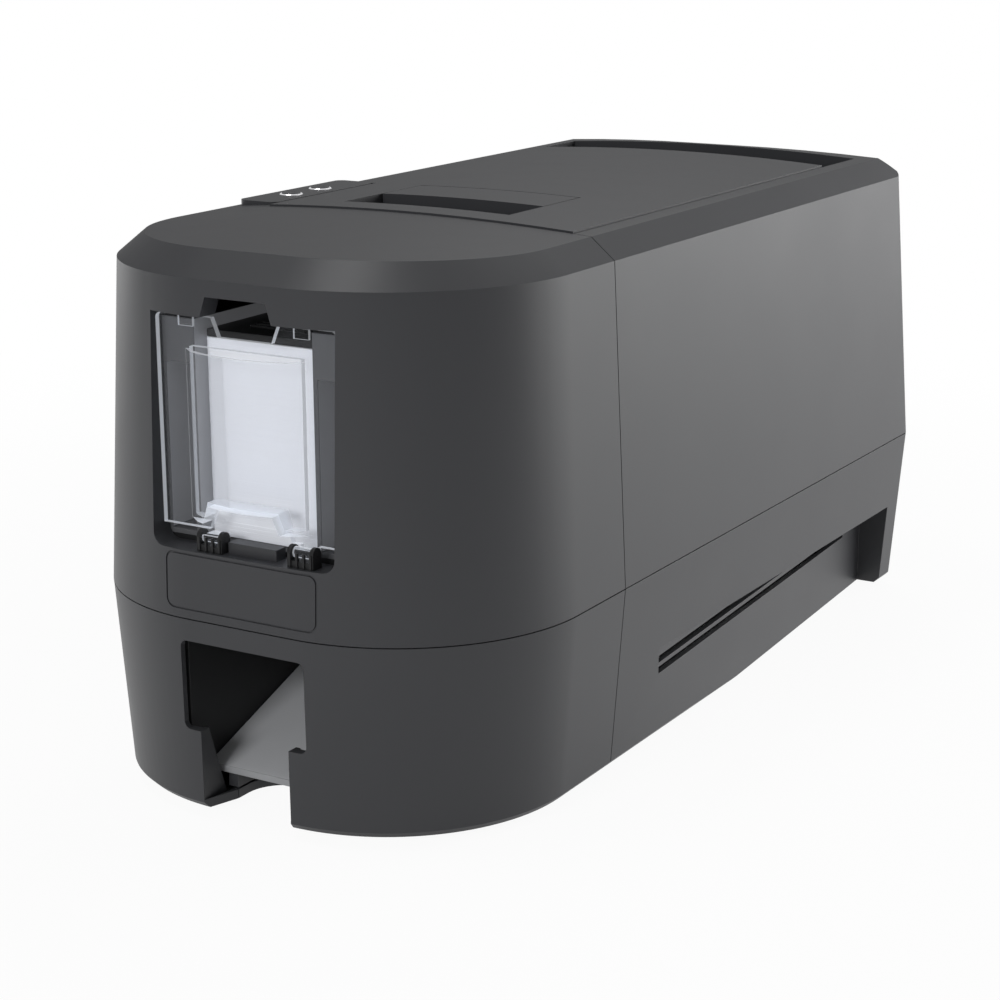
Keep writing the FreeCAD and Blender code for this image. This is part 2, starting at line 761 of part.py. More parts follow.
window_return = common("window_return", upper_outer,
                       window_form("return_block", rib_thickness, (front - overrun, return_end)))
sill_block = box("sill_block", (-sill_block_left, sill_block_right),
                 (front + sill_block_front, front + sill_block_rear), (window_low - bite, window_low + sill_block_rise))
plate_half = card_half + plate_margin
plate_high = window_low - plate_drop
plate_low = split_height + plate_rise
plate_block = prism("plate_block", "XZ", rectangle(both_sides(plate_half), (plate_low, plate_high)), through_front,
                    rounding=plate_corner)
plate_core = prism("plate_core", "XZ",
                   rectangle(both_sides(plate_half - plate_line), (plate_low + plate_line, plate_high - plate_line)),
                   through_front, rounding=plate_corner - plate_line)
plate_depth = upper_body("plate_depth", plate_groove_depth, split_height - bite)
plate_groove = cut("plate_groove", plate_block, plate_core, plate_depth)
upper_skin = fuse("front_upper_skin", common("front_upper_raw", upper_shell, front_zone), window_return)
front_upper_cover = fuse("front_upper_cover",
                         cut("front_upper_open", upper_skin, window_form("window", as_size(0), through_front),
                             plate_groove),
                         sill_block)

# Front lower cover: the lips either side of the output opening turn in beside the card pile
outlet_half = card_half + outlet_margin
outlet_high = split_height - outlet_drop
lip_half = card_half - lip_overlap
lip_high = foot_height + lip_rise
outlet = prism("outlet", "XZ", rectangle(both_sides(outlet_half), (lip_high, outlet_high)), through_front,
               rounding=outlet_corner)
lip_opening = box("lip_opening", both_sides(lip_half), through_front, (as_size(0), lip_high + outlet_corner))
lip_return = prism("lip_return", "YZ",
                   [(front - overrun, foot_height), (front + lip_toe_depth, foot_height),
                    (front + lip_knee_depth, foot_height + lip_knee_rise), (front + lip_depth, lip_high),
                    (front - overrun, lip_high)],
                   (lip_half, lip_half + rib_thickness))
lip_shelf = box("lip_shelf", (lip_half, outlet_half), (front - overrun, front + lip_depth - bite),
                (lip_high - rib_thickness, lip_high))
notch_high = base_top + notch_rim_rise
lip_toe = box("lip_toe", (notch_half_width, lip_half + bite), (front - overrun, front + lip_toe_depth),
              (foot_height, base_top))
toe_rim = box("toe_rim", (notch_half_width, notch_half_width + rib_thickness),
              (front - overrun, front + lip_toe_depth), (foot_height, notch_high))
lips = common("lips", pair("lip_pair", fuse("lip", lip_return, lip_shelf, lip_toe, toe_rim)), lower_outer)
front_lower_cover = fuse("front_lower_cover",
                         cut("front_lower_open", common("front_lower_raw", lower_shell, front_low_zone), outlet,
                             lip_opening),
                         lips)

# Lower rear shell with its side recesses, vents and port openings
recess_side = half_width + overrun
recess_face = half_width - lower_side_draft + recess_flush
recess_end = rear - recess_rear_gap
recess_high = foot_height + recess_rise
port_low = foot_height + port_rise
inlet_x = inlet_inset - frame_side
usb_x = -usb_place
network_x = frame_side - network_inset


def recess_block(name, grow, z):
    """The wedge that a side recess takes out, grown by a wall where it is the recess's backing."""
    return prism(name, "XY",
                 [(recess_face - grow, front + recess_start - grow), (recess_side, front + recess_start - grow),
                  (recess_side, recess_end + grow), (recess_face - recess_depth - grow, recess_end + grow)], z)


recess = recess_block("recess", as_size(0), (as_size(0), recess_high))
recess_backing = recess_block("recess_backing", wall, (foot_height, recess_high + wall))
recess_backings = common("recess_backings", pair("recess_backing_pair", recess_backing), lower_outer)
vents = []
for row in range(2):
    vent_top = recess_high - vent_top_drop - vent_pitch * row
    vents.append(box(f"vent_{row}", (recess_face - recess_depth - wall * 2, recess_side),
                     (front + recess_start + bite, recess_end - vent_rear_gap), (vent_top - vent_width, vent_top)))
port_holes = []
for name, x, width, height in (("inlet", inlet_x, inlet_width, inlet_height), ("usb", usb_x, usb_width, usb_height),
                               ("network", network_x, network_width, network_height)):
    port_holes.append(box(name + "_hole", about(x, width / 2 + slip), about(rear, overrun),
                          (port_low - slip, port_low + height + slip)))
base_shell = cut("base_shell",
                 common("base_raw", fuse("base_walls", lower_shell, recess_backings), rear_low_zone),
                 pair("recess_pair", recess), pair("vent_pair", fuse("vents", *vents)), *port_holes)

# Upper rear cover with the lid's opening, the trough behind the lid and the button pod
lid_half = half_width - lid_side_gap
lid_rear = rear - lid_rear_gap
lid_low = edge_height - lid_skirt
trough_start = lid_rear + bite
trough_rear = rear - trough_rear_gap
trough_floor = edge_height - trough_drop
pod_left = pod_side_gap - half_width
pod_right = pod_left + pod_width
pod_front = seam + pod_setback
pod_rear = pod_front + pod_length
pod_height = edge_height + pod_rise
button_x = (pod_left + pod_right) / 2
button_places = {"power": seam + power_button_setback, "user": seam + user_button_setback}
switch_top = edge_height - switch_board_drop + board_thickness
ring_outer = button_radius + ring_width
lid_opening = cut("lid_opening",
                  box("lid_hole", both_sides(lid_half + slip), (seam - overrun, trough_rear),
                      (trough_floor - wall * 2, edge_height + overrun)),
                  box("pod_apron", (-lid_half - overrun, pod_right), (seam - overrun * 2, pod_front + bite),
                      (trough_floor - overrun, over_top)))
trough_block = box("trough_block", both_sides(lid_half + slip + wall), (trough_start, trough_rear + wall),
                   (trough_floor - wall, edge_height + overrun))
trough_hollow = box("trough_hollow", both_sides(lid_half + slip), (trough_start - bite, trough_rear),
                    (trough_floor, over_top))
trough_hole = box("trough_hole", (-lid_half + overrun, -lid_half + overrun * 3),
                  (trough_start + overrun, trough_start + overrun + trough_hole_length),
                  (trough_floor - wall * 2, trough_floor + bite))
trough = common("trough", cut("trough_tray", trough_block, trough_hollow, trough_hole), upper_outer)
pod_block = prism("pod_block", "XY", rectangle((pod_left, pod_right), (pod_front, pod_rear)), (lid_low, pod_height),
                  rounding=pod_corner)
pod_cavity = box("pod_cavity", (pod_left + wall, pod_right - wall), (pod_front + wall, pod_rear - wall),
                 (lid_low - bite, pod_height - wall))
pod_holes = [rod(f"{name}_hole", button_x, y, (lid_low, pod_height + bite), ring_outer + running)
             for name, y in button_places.items()]
pod_posts = [rod(f"pod_post_{index}", button_x, y, (switch_top, pod_height - bite), stud_radius)
             for index, y in enumerate((pod_front + wall * 3, pod_rear - wall * 3))]
pod = fuse("pod", cut("pod_shell", pod_block, pod_cavity, *pod_holes), *pod_posts)
rear_upper_cover = fuse("rear_upper_cover",
                        cut("rear_cover_skin", common("rear_upper_raw", upper_shell, rear_zone), lid_opening,
                            pod_block),
                        trough, pod)

# Lid: a crowned sheet with a skirt, notched round the pod, with ears for its hinge and bosses for the latch bar
lid_x = both_sides(lid_half - slip)
notch_x = pod_right + slip * 2
notch_y = pod_rear + slip * 2
bar_y = seam + bar_setback
bar_height = edge_height - bar_drop
hook_side = frame_inner - hook_gap
bar_half = hook_side + hook_thickness + hinge_ear_thickness
boss_start = bar_half + slip
slot_half = card_half + slot_margin
slot_front = seam + slot_setback
slot_rear = slot_front + slot_length
flap_end = slot_rear + flap_length
flap_y = flap_end - flap_rear_gap - flap_barrel_radius
flap_axis_height = edge_height + crown_rise + lid_proud - flap_axis_drop
flap_half = slot_half - flap_gap
ear_inner = frame_inner - slip * 2 - hinge_ear_thickness
proud_body = crown("proud_crown", -lid_proud)
lid_block = common("lid_block", box("lid_blank", lid_x, (rear_start, lid_rear), (lid_low, edge_height + overrun)),
                   proud_body)
lid_hollow = box("lid_hollow", (lid_x[0] + wall, lid_x[1] - wall), (rear_start + wall, lid_rear - wall),
                 (lid_low - bite, lid_ceiling))
pod_wall = box("pod_wall", (-lid_half, notch_x + wall), (rear_start, notch_y + wall), (lid_low, lid_ceiling + bite))
pod_clear = box("pod_clear", (-lid_half - overrun, notch_x), (rear_start - bite, notch_y),
                (lid_low - bite, edge_height + overrun))
lid_shell = cut("lid_shell", fuse("lid_with_pod_wall", cut("lid_open", lid_block, lid_hollow),
                                  common("pod_wall_in_lid", pod_wall, lid_block)), pod_clear)
ear = prism("lid_ear", "YZ",
            [(hinge_y - hinge_ear_radius, hinge_height - hinge_ear_radius),
             (hinge_y + hinge_ear_radius, hinge_height - hinge_ear_radius),
             (hinge_y + hinge_ear_radius, lid_ceiling + bite), (hinge_y - hinge_ear_radius * 2, lid_ceiling + bite)],
            (ear_inner, ear_inner + hinge_ear_thickness),
            holes=[(hinge_y, hinge_height, hinge_pin_radius + running)], rounding=hinge_ear_radius - slip,
            corners=(0, 1))
bar_boss = prism("bar_boss", "YZ",
                 rectangle(about(bar_y, bar_radius * 2), (bar_height - bar_radius * 2, lid_ceiling + bite)),
                 (boss_start, boss_start + hinge_ear_thickness),
                 holes=[(bar_y, bar_height, bar_end_radius + running)])
lid_ribs = [box(f"lid_rib_{index}", (lid_rib_pitch * place_share, lid_rib_pitch * place_share + rib_thickness),
                (flap_end + overrun, lid_rear - bite), (lid_ceiling - lid_rib_depth, lid_ceiling + bite))
            for index, place_share in enumerate((0.5, 1.5))]
slot_cut = box("slot_cut", both_sides(slot_half), (slot_front, flap_end), (lid_low, edge_height + overrun))
frame_clear = box("frame_clear", (frame_inner - slip * 2, frame_outer + slip * 2), (hinge_y, lid_rear + bite),
                  (lid_low - bite, lid_ceiling - bite))
flap_bores = rod("flap_bores", both_sides(slot_half + flap_pin_length + slip), flap_y, flap_axis_height,
                 flap_pin_radius + running)
top_lid = cut("top_lid",
              fuse("lid_with_ears", lid_shell, pair("lid_ears", ear), pair("bar_bosses", bar_boss),
                   pair("lid_ribs", fuse("lid_rib_row", *lid_ribs))),
              slot_cut, pair("frame_clears", frame_clear), flap_bores)

# Latch flap on its stub pins, the tray under the slot and the latch bar
flap_y_span = (slot_rear, flap_end - flap_rear_gap)
flap_blank = box("flap_blank", both_sides(flap_half), flap_y_span, (edge_height, edge_height + overrun))
flap_under = crown("flap_under", flap_thickness - lid_proud)
flap_skin = common("flap_skin", cut("flap_sheet", flap_blank, flap_under), proud_body)
flap_edge = common("flap_edge", box("flap_edge_block", both_sides(flap_half), (slot_rear, slot_rear + flap_lip),
                                    (edge_height - flap_lip, edge_height + overrun)), proud_body)
flap_barrel = rod("flap_barrel", (flap_half - flap_barrel_length, flap_half), flap_y, flap_axis_height,
                  flap_barrel_radius)
flap_pin = rod("flap_pin", (flap_half - bite, slot_half + flap_pin_length), flap_y, flap_axis_height, flap_pin_radius)
latch_flap = fuse("latch_flap", flap_skin, flap_edge, pair("flap_barrels", fuse("flap_hinge", flap_barrel, flap_pin)))
liner_floor = edge_height - liner_drop
liner_outer = box("liner_outer", both_sides(slot_half + liner_wall), (slot_front - liner_wall, flap_end + liner_wall),
                  (liner_floor, lid_ceiling))
liner_inner = box("liner_inner", both_sides(slot_half), (slot_front, flap_end),
                  (liner_floor + liner_wall, lid_ceiling + bite))
liner_rib = box("liner_rib", (slot_half / 3, slot_half / 3 + liner_wall),
                (slot_front - bite, slot_rear - flap_lip * 2), (liner_floor + bite, lid_ceiling - liner_rib_drop))
slot_liner = fuse("slot_liner", cut("liner_shell", liner_outer, liner_inner), pair("liner_ribs", liner_rib))
hook_low = bar_height - hook_length
hook_rear = bar_y + bar_radius
hook = prism("hook", "YZ",
             [(bar_y - bar_radius, bar_height + bar_radius), (bar_y - bar_radius, hook_low),
              (hook_rear + hook_toe, hook_low), (hook_rear + hook_toe, hook_low + hook_toe_height),
              (hook_rear, hook_low + hook_toe_height + hook_toe_slope), (hook_rear, bar_height + bar_radius)],
             (hook_side, hook_side + hook_thickness))
latch_bar = fuse("latch_bar", rod("bar_rod", both_sides(bar_half), bar_y, bar_height, bar_radius),
                 rod("bar_ends", both_sides(bar_half + hinge_ear_thickness), bar_y, bar_height, bar_end_radius),
                 pair("hooks", hook))


# Buttons, their rings and the switch board
def button(name, y):
    top = pod_height + button_proud
    flange_top = pod_height - wall - button_drop
    cap = rod(name + "_cap", button_x, y, (flange_top, top), button_radius)
    flange = rod(name + "_flange", button_x, y, (flange_top - button_flange_height, flange_top),
                 button_flange_radius)
    stem = rod(name + "_stem", button_x, y, (flange_top - button_stem_length, flange_top), stud_radius)
    return fuse(name, cap, flange, stem)


def button_ring(name, y):
    span = (pod_height - wall, pod_height + ring_proud)
    return cut(name, rod(name + "_disc", button_x, y, span, ring_outer),
               rod(name + "_bore", button_x, y, grown(span, bite), button_radius + running * 2))


power_button = button("power_button", button_places["power"])
user_button = button("user_button", button_places["user"])
button_rings = fuse("button_rings", *[button_ring(f"{name}_ring", y) for name, y in button_places.items()])
switch_sheet = box("switch_sheet", (pod_left + wall + bite, pod_right - wall - bite),
                   (pod_front + wall + bite, pod_rear - wall - bite), (switch_top - board_thickness, switch_top))
switches = [box(f"{name}_switch", about(button_x, switch_size / 2), about(y, switch_size / 2),
                (switch_top, switch_top + switch_height)) for name, y in button_places.items()]
button_board = fuse("button_board", switch_sheet, *switches)

# Base plate, feet, frames and the cross tie
foot_y = {"front": front + foot_front, "rear": rear - foot_rear_gap}
tie_y = rear - tie_rear_gap
tie_high = base_top + tie_rise
roller_height = path_height - roller_radius - nip
tooth_count = 24
small_tooth_count = 12
pick_tooth_count = 20
gear_reach = gear_module * tooth_count / 2
small_reach = gear_module * small_tooth_count / 2
pick_reach = gear_module * pick_tooth_count / 2
feed_y = card_rear + feed_setback
platen_y = feed_y + gear_reach * 2 + small_reach * 2
rear_roller_y = platen_y + gear_reach * 2 + small_reach * 2
pick_y = feed_y - gear_reach * 2 - pick_reach * 2
motor_idler_height = roller_height - gear_reach * 2
motor_height = motor_idler_height - gear_reach - small_reach
gear_start = frame_outer + gear_gap
gear_end = gear_start + gear_width
catch_y = bar_y + catch_setback
catch_height = bar_height - catch_drop
flange_y = rear - rear_flange_gap
base_form = lower_body("base_form", wall + toe_chamfer + slip, (foot_height - bite, foot_height + overrun))
base_slab = common("base_slab", base_form, box("base_layer", across, along, (foot_height, base_top)))
notch_end = front + notch_depth - notch_half_width
notch_z = (as_size(0), notch_high + bite)
notch = fuse("notch", box("notch_mouth", both_sides(notch_half_width), (front - overrun, notch_end), notch_z),
             rod("notch_round", as_size(0), notch_end, notch_z, notch_half_width))
rim_half = notch_half_width + rib_thickness
rim_start = front + lip_toe_depth + slip
notch_rim = common("notch_rim",
                   fuse("rim_round", box("rim_sides", both_sides(rim_half), (rim_start, notch_end),
                                         (foot_height, notch_high)),
                        rod("rim_end", as_size(0), notch_end, (foot_height, notch_high), rim_half)),
                   box("rim_reach", both_sides(rim_half + bite), (rim_start, notch_end + rim_half + bite),
                       (foot_height - bite, notch_high + bite)))
lip_clear = box("lip_clear", (notch_half_width - bite, lip_half + rib_thickness + slip),
                (front - overrun, rim_start), (foot_height - bite, notch_high + bite))
port_flange = box("port_flange", both_sides(frame_side - rear_flange_inset), (flange_y, flange_y + frame_sheet),
                  (foot_height, foot_height + rear_flange_rise))
recess_clear = recess_block("recess_clear", wall + slip, (as_size(0), recess_high))
base_plate = cut("base_plate", fuse("base_with_flange", base_slab, port_flange, notch_rim), notch,
                 pair("recess_clears", recess_clear), pair("lip_clears", lip_clear))
feet = fuse("feet", *[rod(f"{end}_foot_{index}", side, y, (as_size(0), foot_height), foot_radius)
                      for end, y in foot_y.items() for index, side in enumerate((-frame_side, frame_side))])
shaft_holes = [(y, roller_height, shaft_radius + running) for y in (pick_y, feed_y, platen_y, rear_roller_y)]
frame_top = catch_height + frame_crest
frame_waist = frame_top - frame_waist_drop
crest_end = catch_y + frame_crest_length
frame_end = rear - frame_rear_gap
column = (hinge_y - hinge_ear_radius, hinge_y + hinge_ear_radius)
frame_outline = [
    (front + frame_front, base_top), (frame_end, base_top), (frame_end, tie_high),
    (column[1], hinge_height - hinge_ear_radius), (column[1], hinge_height + hinge_ear_radius),
    (column[0], hinge_height + hinge_ear_radius), (column[0] - hinge_ear_radius, frame_waist),
    (crest_end + frame_shoulder, frame_waist), (crest_end, frame_top), (front + frame_front, frame_top),
]
frame_web = prism("frame_web", "YZ", frame_outline, (frame_inner, frame_outer),
                  holes=shaft_holes + [(hinge_y, hinge_height, hinge_pin_radius + running)],
                  rounding=hinge_ear_radius - slip, corners=(4, 5))
frame_foot = box("frame_foot", (frame_inner - frame_flange, frame_outer), (foot_y["front"], tie_y - slip),
                 (base_top, base_top + frame_sheet))
catch = rod("catch", (hook_side - bite, frame_inner + frame_sheet / 2), catch_y, catch_height, catch_radius)
plain_frame = fuse("plain_frame", frame_web, frame_foot, catch)
side_frame_left = mirror("side_frame_left", plain_frame)
motor_hole = rod("motor_hole", grown((frame_inner, frame_outer), bite), platen_y, motor_height,
                 motor_shaft_radius * 2)
side_frame_right = cut("side_frame_right", plain_frame, motor_hole)
rear_cross_tie = box("rear_cross_tie", both_sides(frame_inner), (tie_y, tie_y + frame_sheet), (base_top, tie_high))
lid_hinge_pins = pair("lid_hinge_pins", rod("lid_hinge_pin", (ear_inner - bite, frame_outer + shaft_end), hinge_y,
                                            hinge_height, hinge_pin_radius))

# Card hopper: a floor between the frames and a housing round the card stack, open at its top and front
floor_top = path_height - slip
floor_low = floor_top - floor_thickness
floor_end = card_rear + floor_setback
housing_half = card_half + housing_side
cavity_half = card_half + hopper_clearance
cavity_end = card_rear + hopper_clearance
housing_top = stack_top + housing_rise
pick_half = pick_roller_width / 2
roller_slot_half = roller_radius - roller_slot_inset
floor_sheet = box("floor_sheet", both_sides(frame_inner), (front + frame_front, floor_end), (floor_low, floor_top))
floor_tongue = box("floor_tongue", both_sides(housing_half), (hopper_front, front + frame_front + bite),
                   (floor_low, floor_top))
pick_slot = box("pick_slot", both_sides(pick_half + bite), about(pick_y, roller_slot_half),
                grown((floor_low, floor_top), bite))
hopper_floor = cut("hopper_floor", fuse("floor_with_tongue", floor_sheet, floor_tongue), pick_slot)
housing_blank = box("housing_blank", both_sides(housing_half), (hopper_front, cavity_end + housing_wall),
                    (floor_top, housing_top))
card_cavity = box("card_cavity", both_sides(cavity_half), (hopper_front - bite, cavity_end),
                  (floor_top - bite, housing_top + bite))
side_pocket = box("side_pocket", (cavity_half + housing_wall, housing_half - housing_wall),
                  (hopper_front - bite, cavity_end - housing_wall),
                  (floor_top + housing_wall, housing_top - side_pocket_drop))
card_gate = box("card_gate", both_sides(cavity_half), (cavity_end - bite, cavity_end + housing_wall + bite),
                (floor_top - bite, path_height + gate_height))
hopper_housing = cut("hopper_housing", housing_blank, card_cavity, pair("side_pockets", side_pocket), card_gate)
card_stack = prism("card_stack", "XY", rectangle(both_sides(card_half), (front + card_front, card_rear)),
                   (path_height, stack_top), rounding=card_corner)

# Clear hopper door: a sheet with a bow over the cards, which turns forward on two clips
door_half = window_half - door_gap
door_low = path_height + door_rise
door_top = window_high - door_gap
door_y = front + door_front
door_back = door_y + door_thickness
door_axis_y = front + door_axis_place
door_axis_height = path_height + door_axis_rise
nub_end = door_nub_start + door_nub_length
arch_high = door_low + arch_rise
bow_low = path_height + bow_rise
bow_high = door_top - bow_top_drop
bow_half = card_half + bow_spread
bow_front_half = bow_half - bow_corner_inset
bow_sagitta = bow_depth - bow_corner_depth
bow_radius = (bow_front_half * bow_front_half + bow_sagitta * bow_sagitta) / (bow_sagitta * 2)
bow_front = door_y - bow_depth
bow_nose_half = bow_half - bow_corner_inset * (bow_depth + bite) / bow_corner_depth
door_panel = prism("door_panel", "XZ",
                   [(-door_half, door_low), (door_half, door_low), (door_half, door_top),
                    (door_notch_width / 2, door_top), (door_notch_low_width / 2, door_top - door_notch_depth),
                    (-door_notch_low_width / 2, door_top - door_notch_depth), (-door_notch_width / 2, door_top),
                    (-door_half, door_top)],
                   (door_y, door_back), rounding=door_thickness, corners=(2, 7))


def bow_form(name, inset, back, z):
    """The bow between its two leaning sides and its shallow front arc."""
    sides = [(inset - bow_half, back), (bow_half - inset, back), (bow_half - inset, door_y),
             (bow_nose_half - inset, bow_front - bite), (inset - bow_nose_half, bow_front - bite),
             (inset - bow_half, door_y)]
    drum = rod(name + "_drum", as_size(0), bow_front + bow_radius, z, bow_radius - inset)
    return common(name, prism(name + "_sides", "XY", sides, z), drum)


def arch_form(name, grow, y):
    points = [(-arch_low_width / 2 - grow, door_low - bite), (arch_low_width / 2 + grow, door_low - bite),
              (arch_high_width / 2 + grow, arch_high + grow), (-arch_high_width / 2 - grow, arch_high + grow)]
    return prism(name, "XZ", points, y)


bow_outer = bow_form("bow_outer", as_size(0), door_back, (bow_low, bow_high))
bow_inner = bow_form("bow_inner", bow_wall, door_back + bite, (bow_low + bow_wall, bow_high + bite))
arch_rim_form = common("arch_rim_form", arch_form("arch_block", arch_rim, (bow_front - bite, door_back)), bow_outer)
nubs = pair("door_nubs", box("door_nub", (door_nub_start, nub_end), (door_y - door_nub_proud, door_y + bite),
                             (door_top - door_nub_height, door_top)))
clip_places = {"left": -left_clip_place, "right": right_clip_place}
ear_reach = door_barrel_radius + clip_rim
clip_top = door_axis_height - ear_reach
hinge_parts = []
clip_parts = []
door_bores = []
pins = []
for side, middle in clip_places.items():
    clip_x = about(middle, clip_width / 2)
    barrel_x = (clip_x[0] + clip_ear + slip, clip_x[1] - clip_ear - slip)
    hinge_parts.append(rod(f"{side}_barrel", barrel_x, door_axis_y, door_axis_height, door_barrel_radius))
    half_arm = door_barrel_radius / 2
    hinge_parts.append(prism(f"{side}_arm", "YZ",
                             [(door_axis_y, door_axis_height - half_arm), (door_back, door_axis_height - half_arm),
                              (door_back, door_low + bite), (door_y, door_low + bite),
                              (door_y, door_axis_height + half_arm), (door_axis_y, door_axis_height + half_arm)],
                             barrel_x))
    clip_parts.append(box(f"{side}_clip_base", clip_x, about(door_axis_y, ear_reach), (window_low, clip_top)))
    for name, start in (("inner", clip_x[0]), ("outer", clip_x[1] - clip_ear)):
        ear_x = (start, start + clip_ear)
        clip_parts.append(rod(f"{side}_{name}_ear", ear_x, door_axis_y, door_axis_height, ear_reach))
        clip_parts.append(box(f"{side}_{name}_post", ear_x, about(door_axis_y, ear_reach),
                              (clip_top - bite, door_axis_height)))
    door_bores.append(rod(f"{side}_bore", grown(clip_x, bite), door_axis_y, door_axis_height,
                          door_pin_radius + running))
    pins.append(rod(f"{side}_pin", clip_x, door_axis_y, door_axis_height, door_pin_radius))
bore_pair = fuse("door_bores", *door_bores)
hopper_door = cut("hopper_door",
                  fuse("door_raw", cut("door_sheet_open", door_panel, bow_inner),
                       cut("bow_shell", bow_outer, bow_inner), arch_rim_form, nubs, *hinge_parts),
                  arch_form("arch", as_size(0), (front - overrun, door_back + bite)), bore_pair)
door_clips = cut("door_clips", fuse("clips_raw", *clip_parts), bore_pair)
door_pins = fuse("door_pins", *pins)

# Output channel and the sloped tray with its two ribs
channel = cut("output_liner",
              box("channel_block", both_sides(outlet_half + outlet_liner_wall),
                  (front + outlet_liner_front, floor_end), (base_top, outlet_high + outlet_liner_wall)),
              box("channel_hollow", both_sides(outlet_half),
                  (front + outlet_liner_front - bite, floor_end + bite), (as_size(0), outlet_high)))
tray_y = front + tray_front
tray_low = foot_height + tray_lip_rise
tray_high = tray_low + tray_lip_height
tray_knee = tray_y + tray_thickness
tray_rear_high = outlet_high - tray_rear_drop
tray_slope = (tray_rear_high - tray_high) / (floor_end - tray_knee)
under_end = notch_end + rim_half + bite
tray_half = outlet_half - slip
tray_sheet = prism("tray_sheet", "YZ",
                   [(tray_y, tray_low), (tray_knee, tray_low), (tray_knee, tray_high - tray_thickness),
                    (floor_end, tray_rear_high - tray_thickness), (floor_end, tray_rear_high),
                    (tray_knee, tray_high), (tray_y, tray_high - bite)],
                   both_sides(tray_half))
apron_z = (notch_high + tray_apron_gap, tray_rear_high)
apron_ring = cut("apron_ring",
                 fuse("apron_outer", box("apron_sides", both_sides(rim_half), (tray_y, notch_end), apron_z),
                      rod("apron_end", as_size(0), notch_end, apron_z, rim_half)),
                 fuse("apron_inner", box("apron_mouth", both_sides(notch_half_width), (front, notch_end),
                                         grown(apron_z, bite)),
                      rod("apron_round", as_size(0), notch_end, grown(apron_z, bite), notch_half_width)))
under_tray = prism("under_tray", "YZ",
                   [(tray_knee - bite, apron_z[0] - bite), (under_end, apron_z[0] - bite),
                    (under_end, tray_high - tray_thickness / 2 + tray_slope * (under_end - tray_knee)),
                    (tray_knee - bite, tray_high - tray_thickness / 2)],
                   both_sides(rim_half + bite))
output_tray = fuse("output_tray", tray_sheet, common("tray_apron", apron_ring, under_tray))


# Rollers, gears, the studs that the idler gears turn on, and the motor
def gear(name, teeth, y, height, phase, bore):
    """A spur gear with straight-flanked teeth round a shaft along X."""
    module = gear_module.value
    reach = module * teeth / 2
    root = reach - module * dedendum_share.value
    tip = reach + module * addendum_share.value
    root_turn = module * tooth_root_share.value / root
    tip_turn = module * tooth_tip_share.value / tip
    points = []
    for tooth in range(teeth):
        middle = math.tau * tooth / teeth + phase
        for radius, turn in ((root, -root_turn), (tip, -tip_turn), (tip, tip_turn), (root, root_turn)):
            points.append(FreeCAD.Vector(0, radius * math.cos(middle + turn), radius * math.sin(middle + turn)))
    solid = Part.Face(Part.makePolygon(points + points[:1])).extrude(FreeCAD.Vector(gear_width.value, 0, 0))
    if bore is not None:
        hole = Part.makeCylinder(bore.value, gear_width.value * 3, FreeCAD.Vector(-gear_width.value, 0, 0),
                                 FreeCAD.Vector(1, 0, 0))
        solid = solid.cut(hole)
    item = document.addObject("Part::Feature", name)
    item.Shape = solid
    item.Placement.Base = FreeCAD.Vector(gear_start.value, y.value, height.value)
    return item


def roller(name, y, half_length):
    sleeve = rod(name + "_sleeve", both_sides(half_length), y, roller_height, roller_radius)
    bore = rod(name + "_bore", both_sides(half_length + bite), y, roller_height, shaft_radius + running)
    return cut(name, sleeve, bore)


roller_half = card_half + roller_margin
roller_nodes = []
for name, y, half_length in (("pick", pick_y, pick_half), ("feed", feed_y, roller_half),
                             ("platen", platen_y, roller_half), ("rear", rear_roller_y, roller_half)):
    roller_nodes.append(rod(name + "_shaft", (-frame_outer - shaft_end, gear_end + bite), y, roller_height,
                            shaft_radius))
    roller_nodes.append(roller(name + "_roller", y, half_length))
    roller_nodes.append(gear(name + "_gear", tooth_count, y, roller_height, 0, shaft_radius + running))
idlers = [
    ("pick_idler_gear", pick_tooth_count, pick_y + gear_reach + pick_reach, roller_height),
    ("feed_idler_gear", small_tooth_count, feed_y + gear_reach + small_reach, roller_height),
    ("rear_idler_gear", small_tooth_count, platen_y + gear_reach + small_reach, roller_height),
    ("motor_idler_gear", tooth_count, platen_y, motor_idler_height),
]
idler_gears = [gear(name, teeth, y, height, math.pi / teeth, stud_radius + running)
               for name, teeth, y, height in idlers]
gear_studs = fuse("gear_studs", *[rod(name + "_stud", (frame_outer, gear_end + bite), y, height, stud_radius)
                                  for name, teeth, y, height in idlers])
motor_shaft_start = frame_inner - motor_shaft_length
motor_pinion = fuse("motor_pinion", gear("pinion_teeth", small_tooth_count, platen_y, motor_height, 0, None),
                    rod("motor_shaft", (motor_shaft_start, gear_end), platen_y, motor_height, motor_shaft_radius))
motor_can = rod("motor_can", (frame_inner - motor_length, frame_inner), platen_y, motor_height, motor_radius)
motor_plate = box("motor_plate", (frame_inner - motor_flange, frame_inner),
                  about(platen_y, motor_radius + motor_ear), about(motor_height, motor_radius))
drive_motor = cut("drive_motor", fuse("motor_body", motor_can, motor_plate),
                  rod("motor_bore", (motor_shaft_start - bite, frame_inner + bite), platen_y, motor_height,
                      motor_shaft_radius + running))
guide_top = path_height - guide_drop
guide_z = (guide_top - guide_thickness, guide_top)
guide_sheet = box("guide_sheet", both_sides(frame_inner), (floor_end + slip, floor_end + guide_length), guide_z)
guide_slots = [box(f"guide_slot_{index}", both_sides(roller_half + shaft_end), about(y, roller_slot_half),
                   grown(guide_z, bite)) for index, y in enumerate((feed_y, platen_y, rear_roller_y))]
card_path_guide = cut("card_path_guide", guide_sheet, *guide_slots)

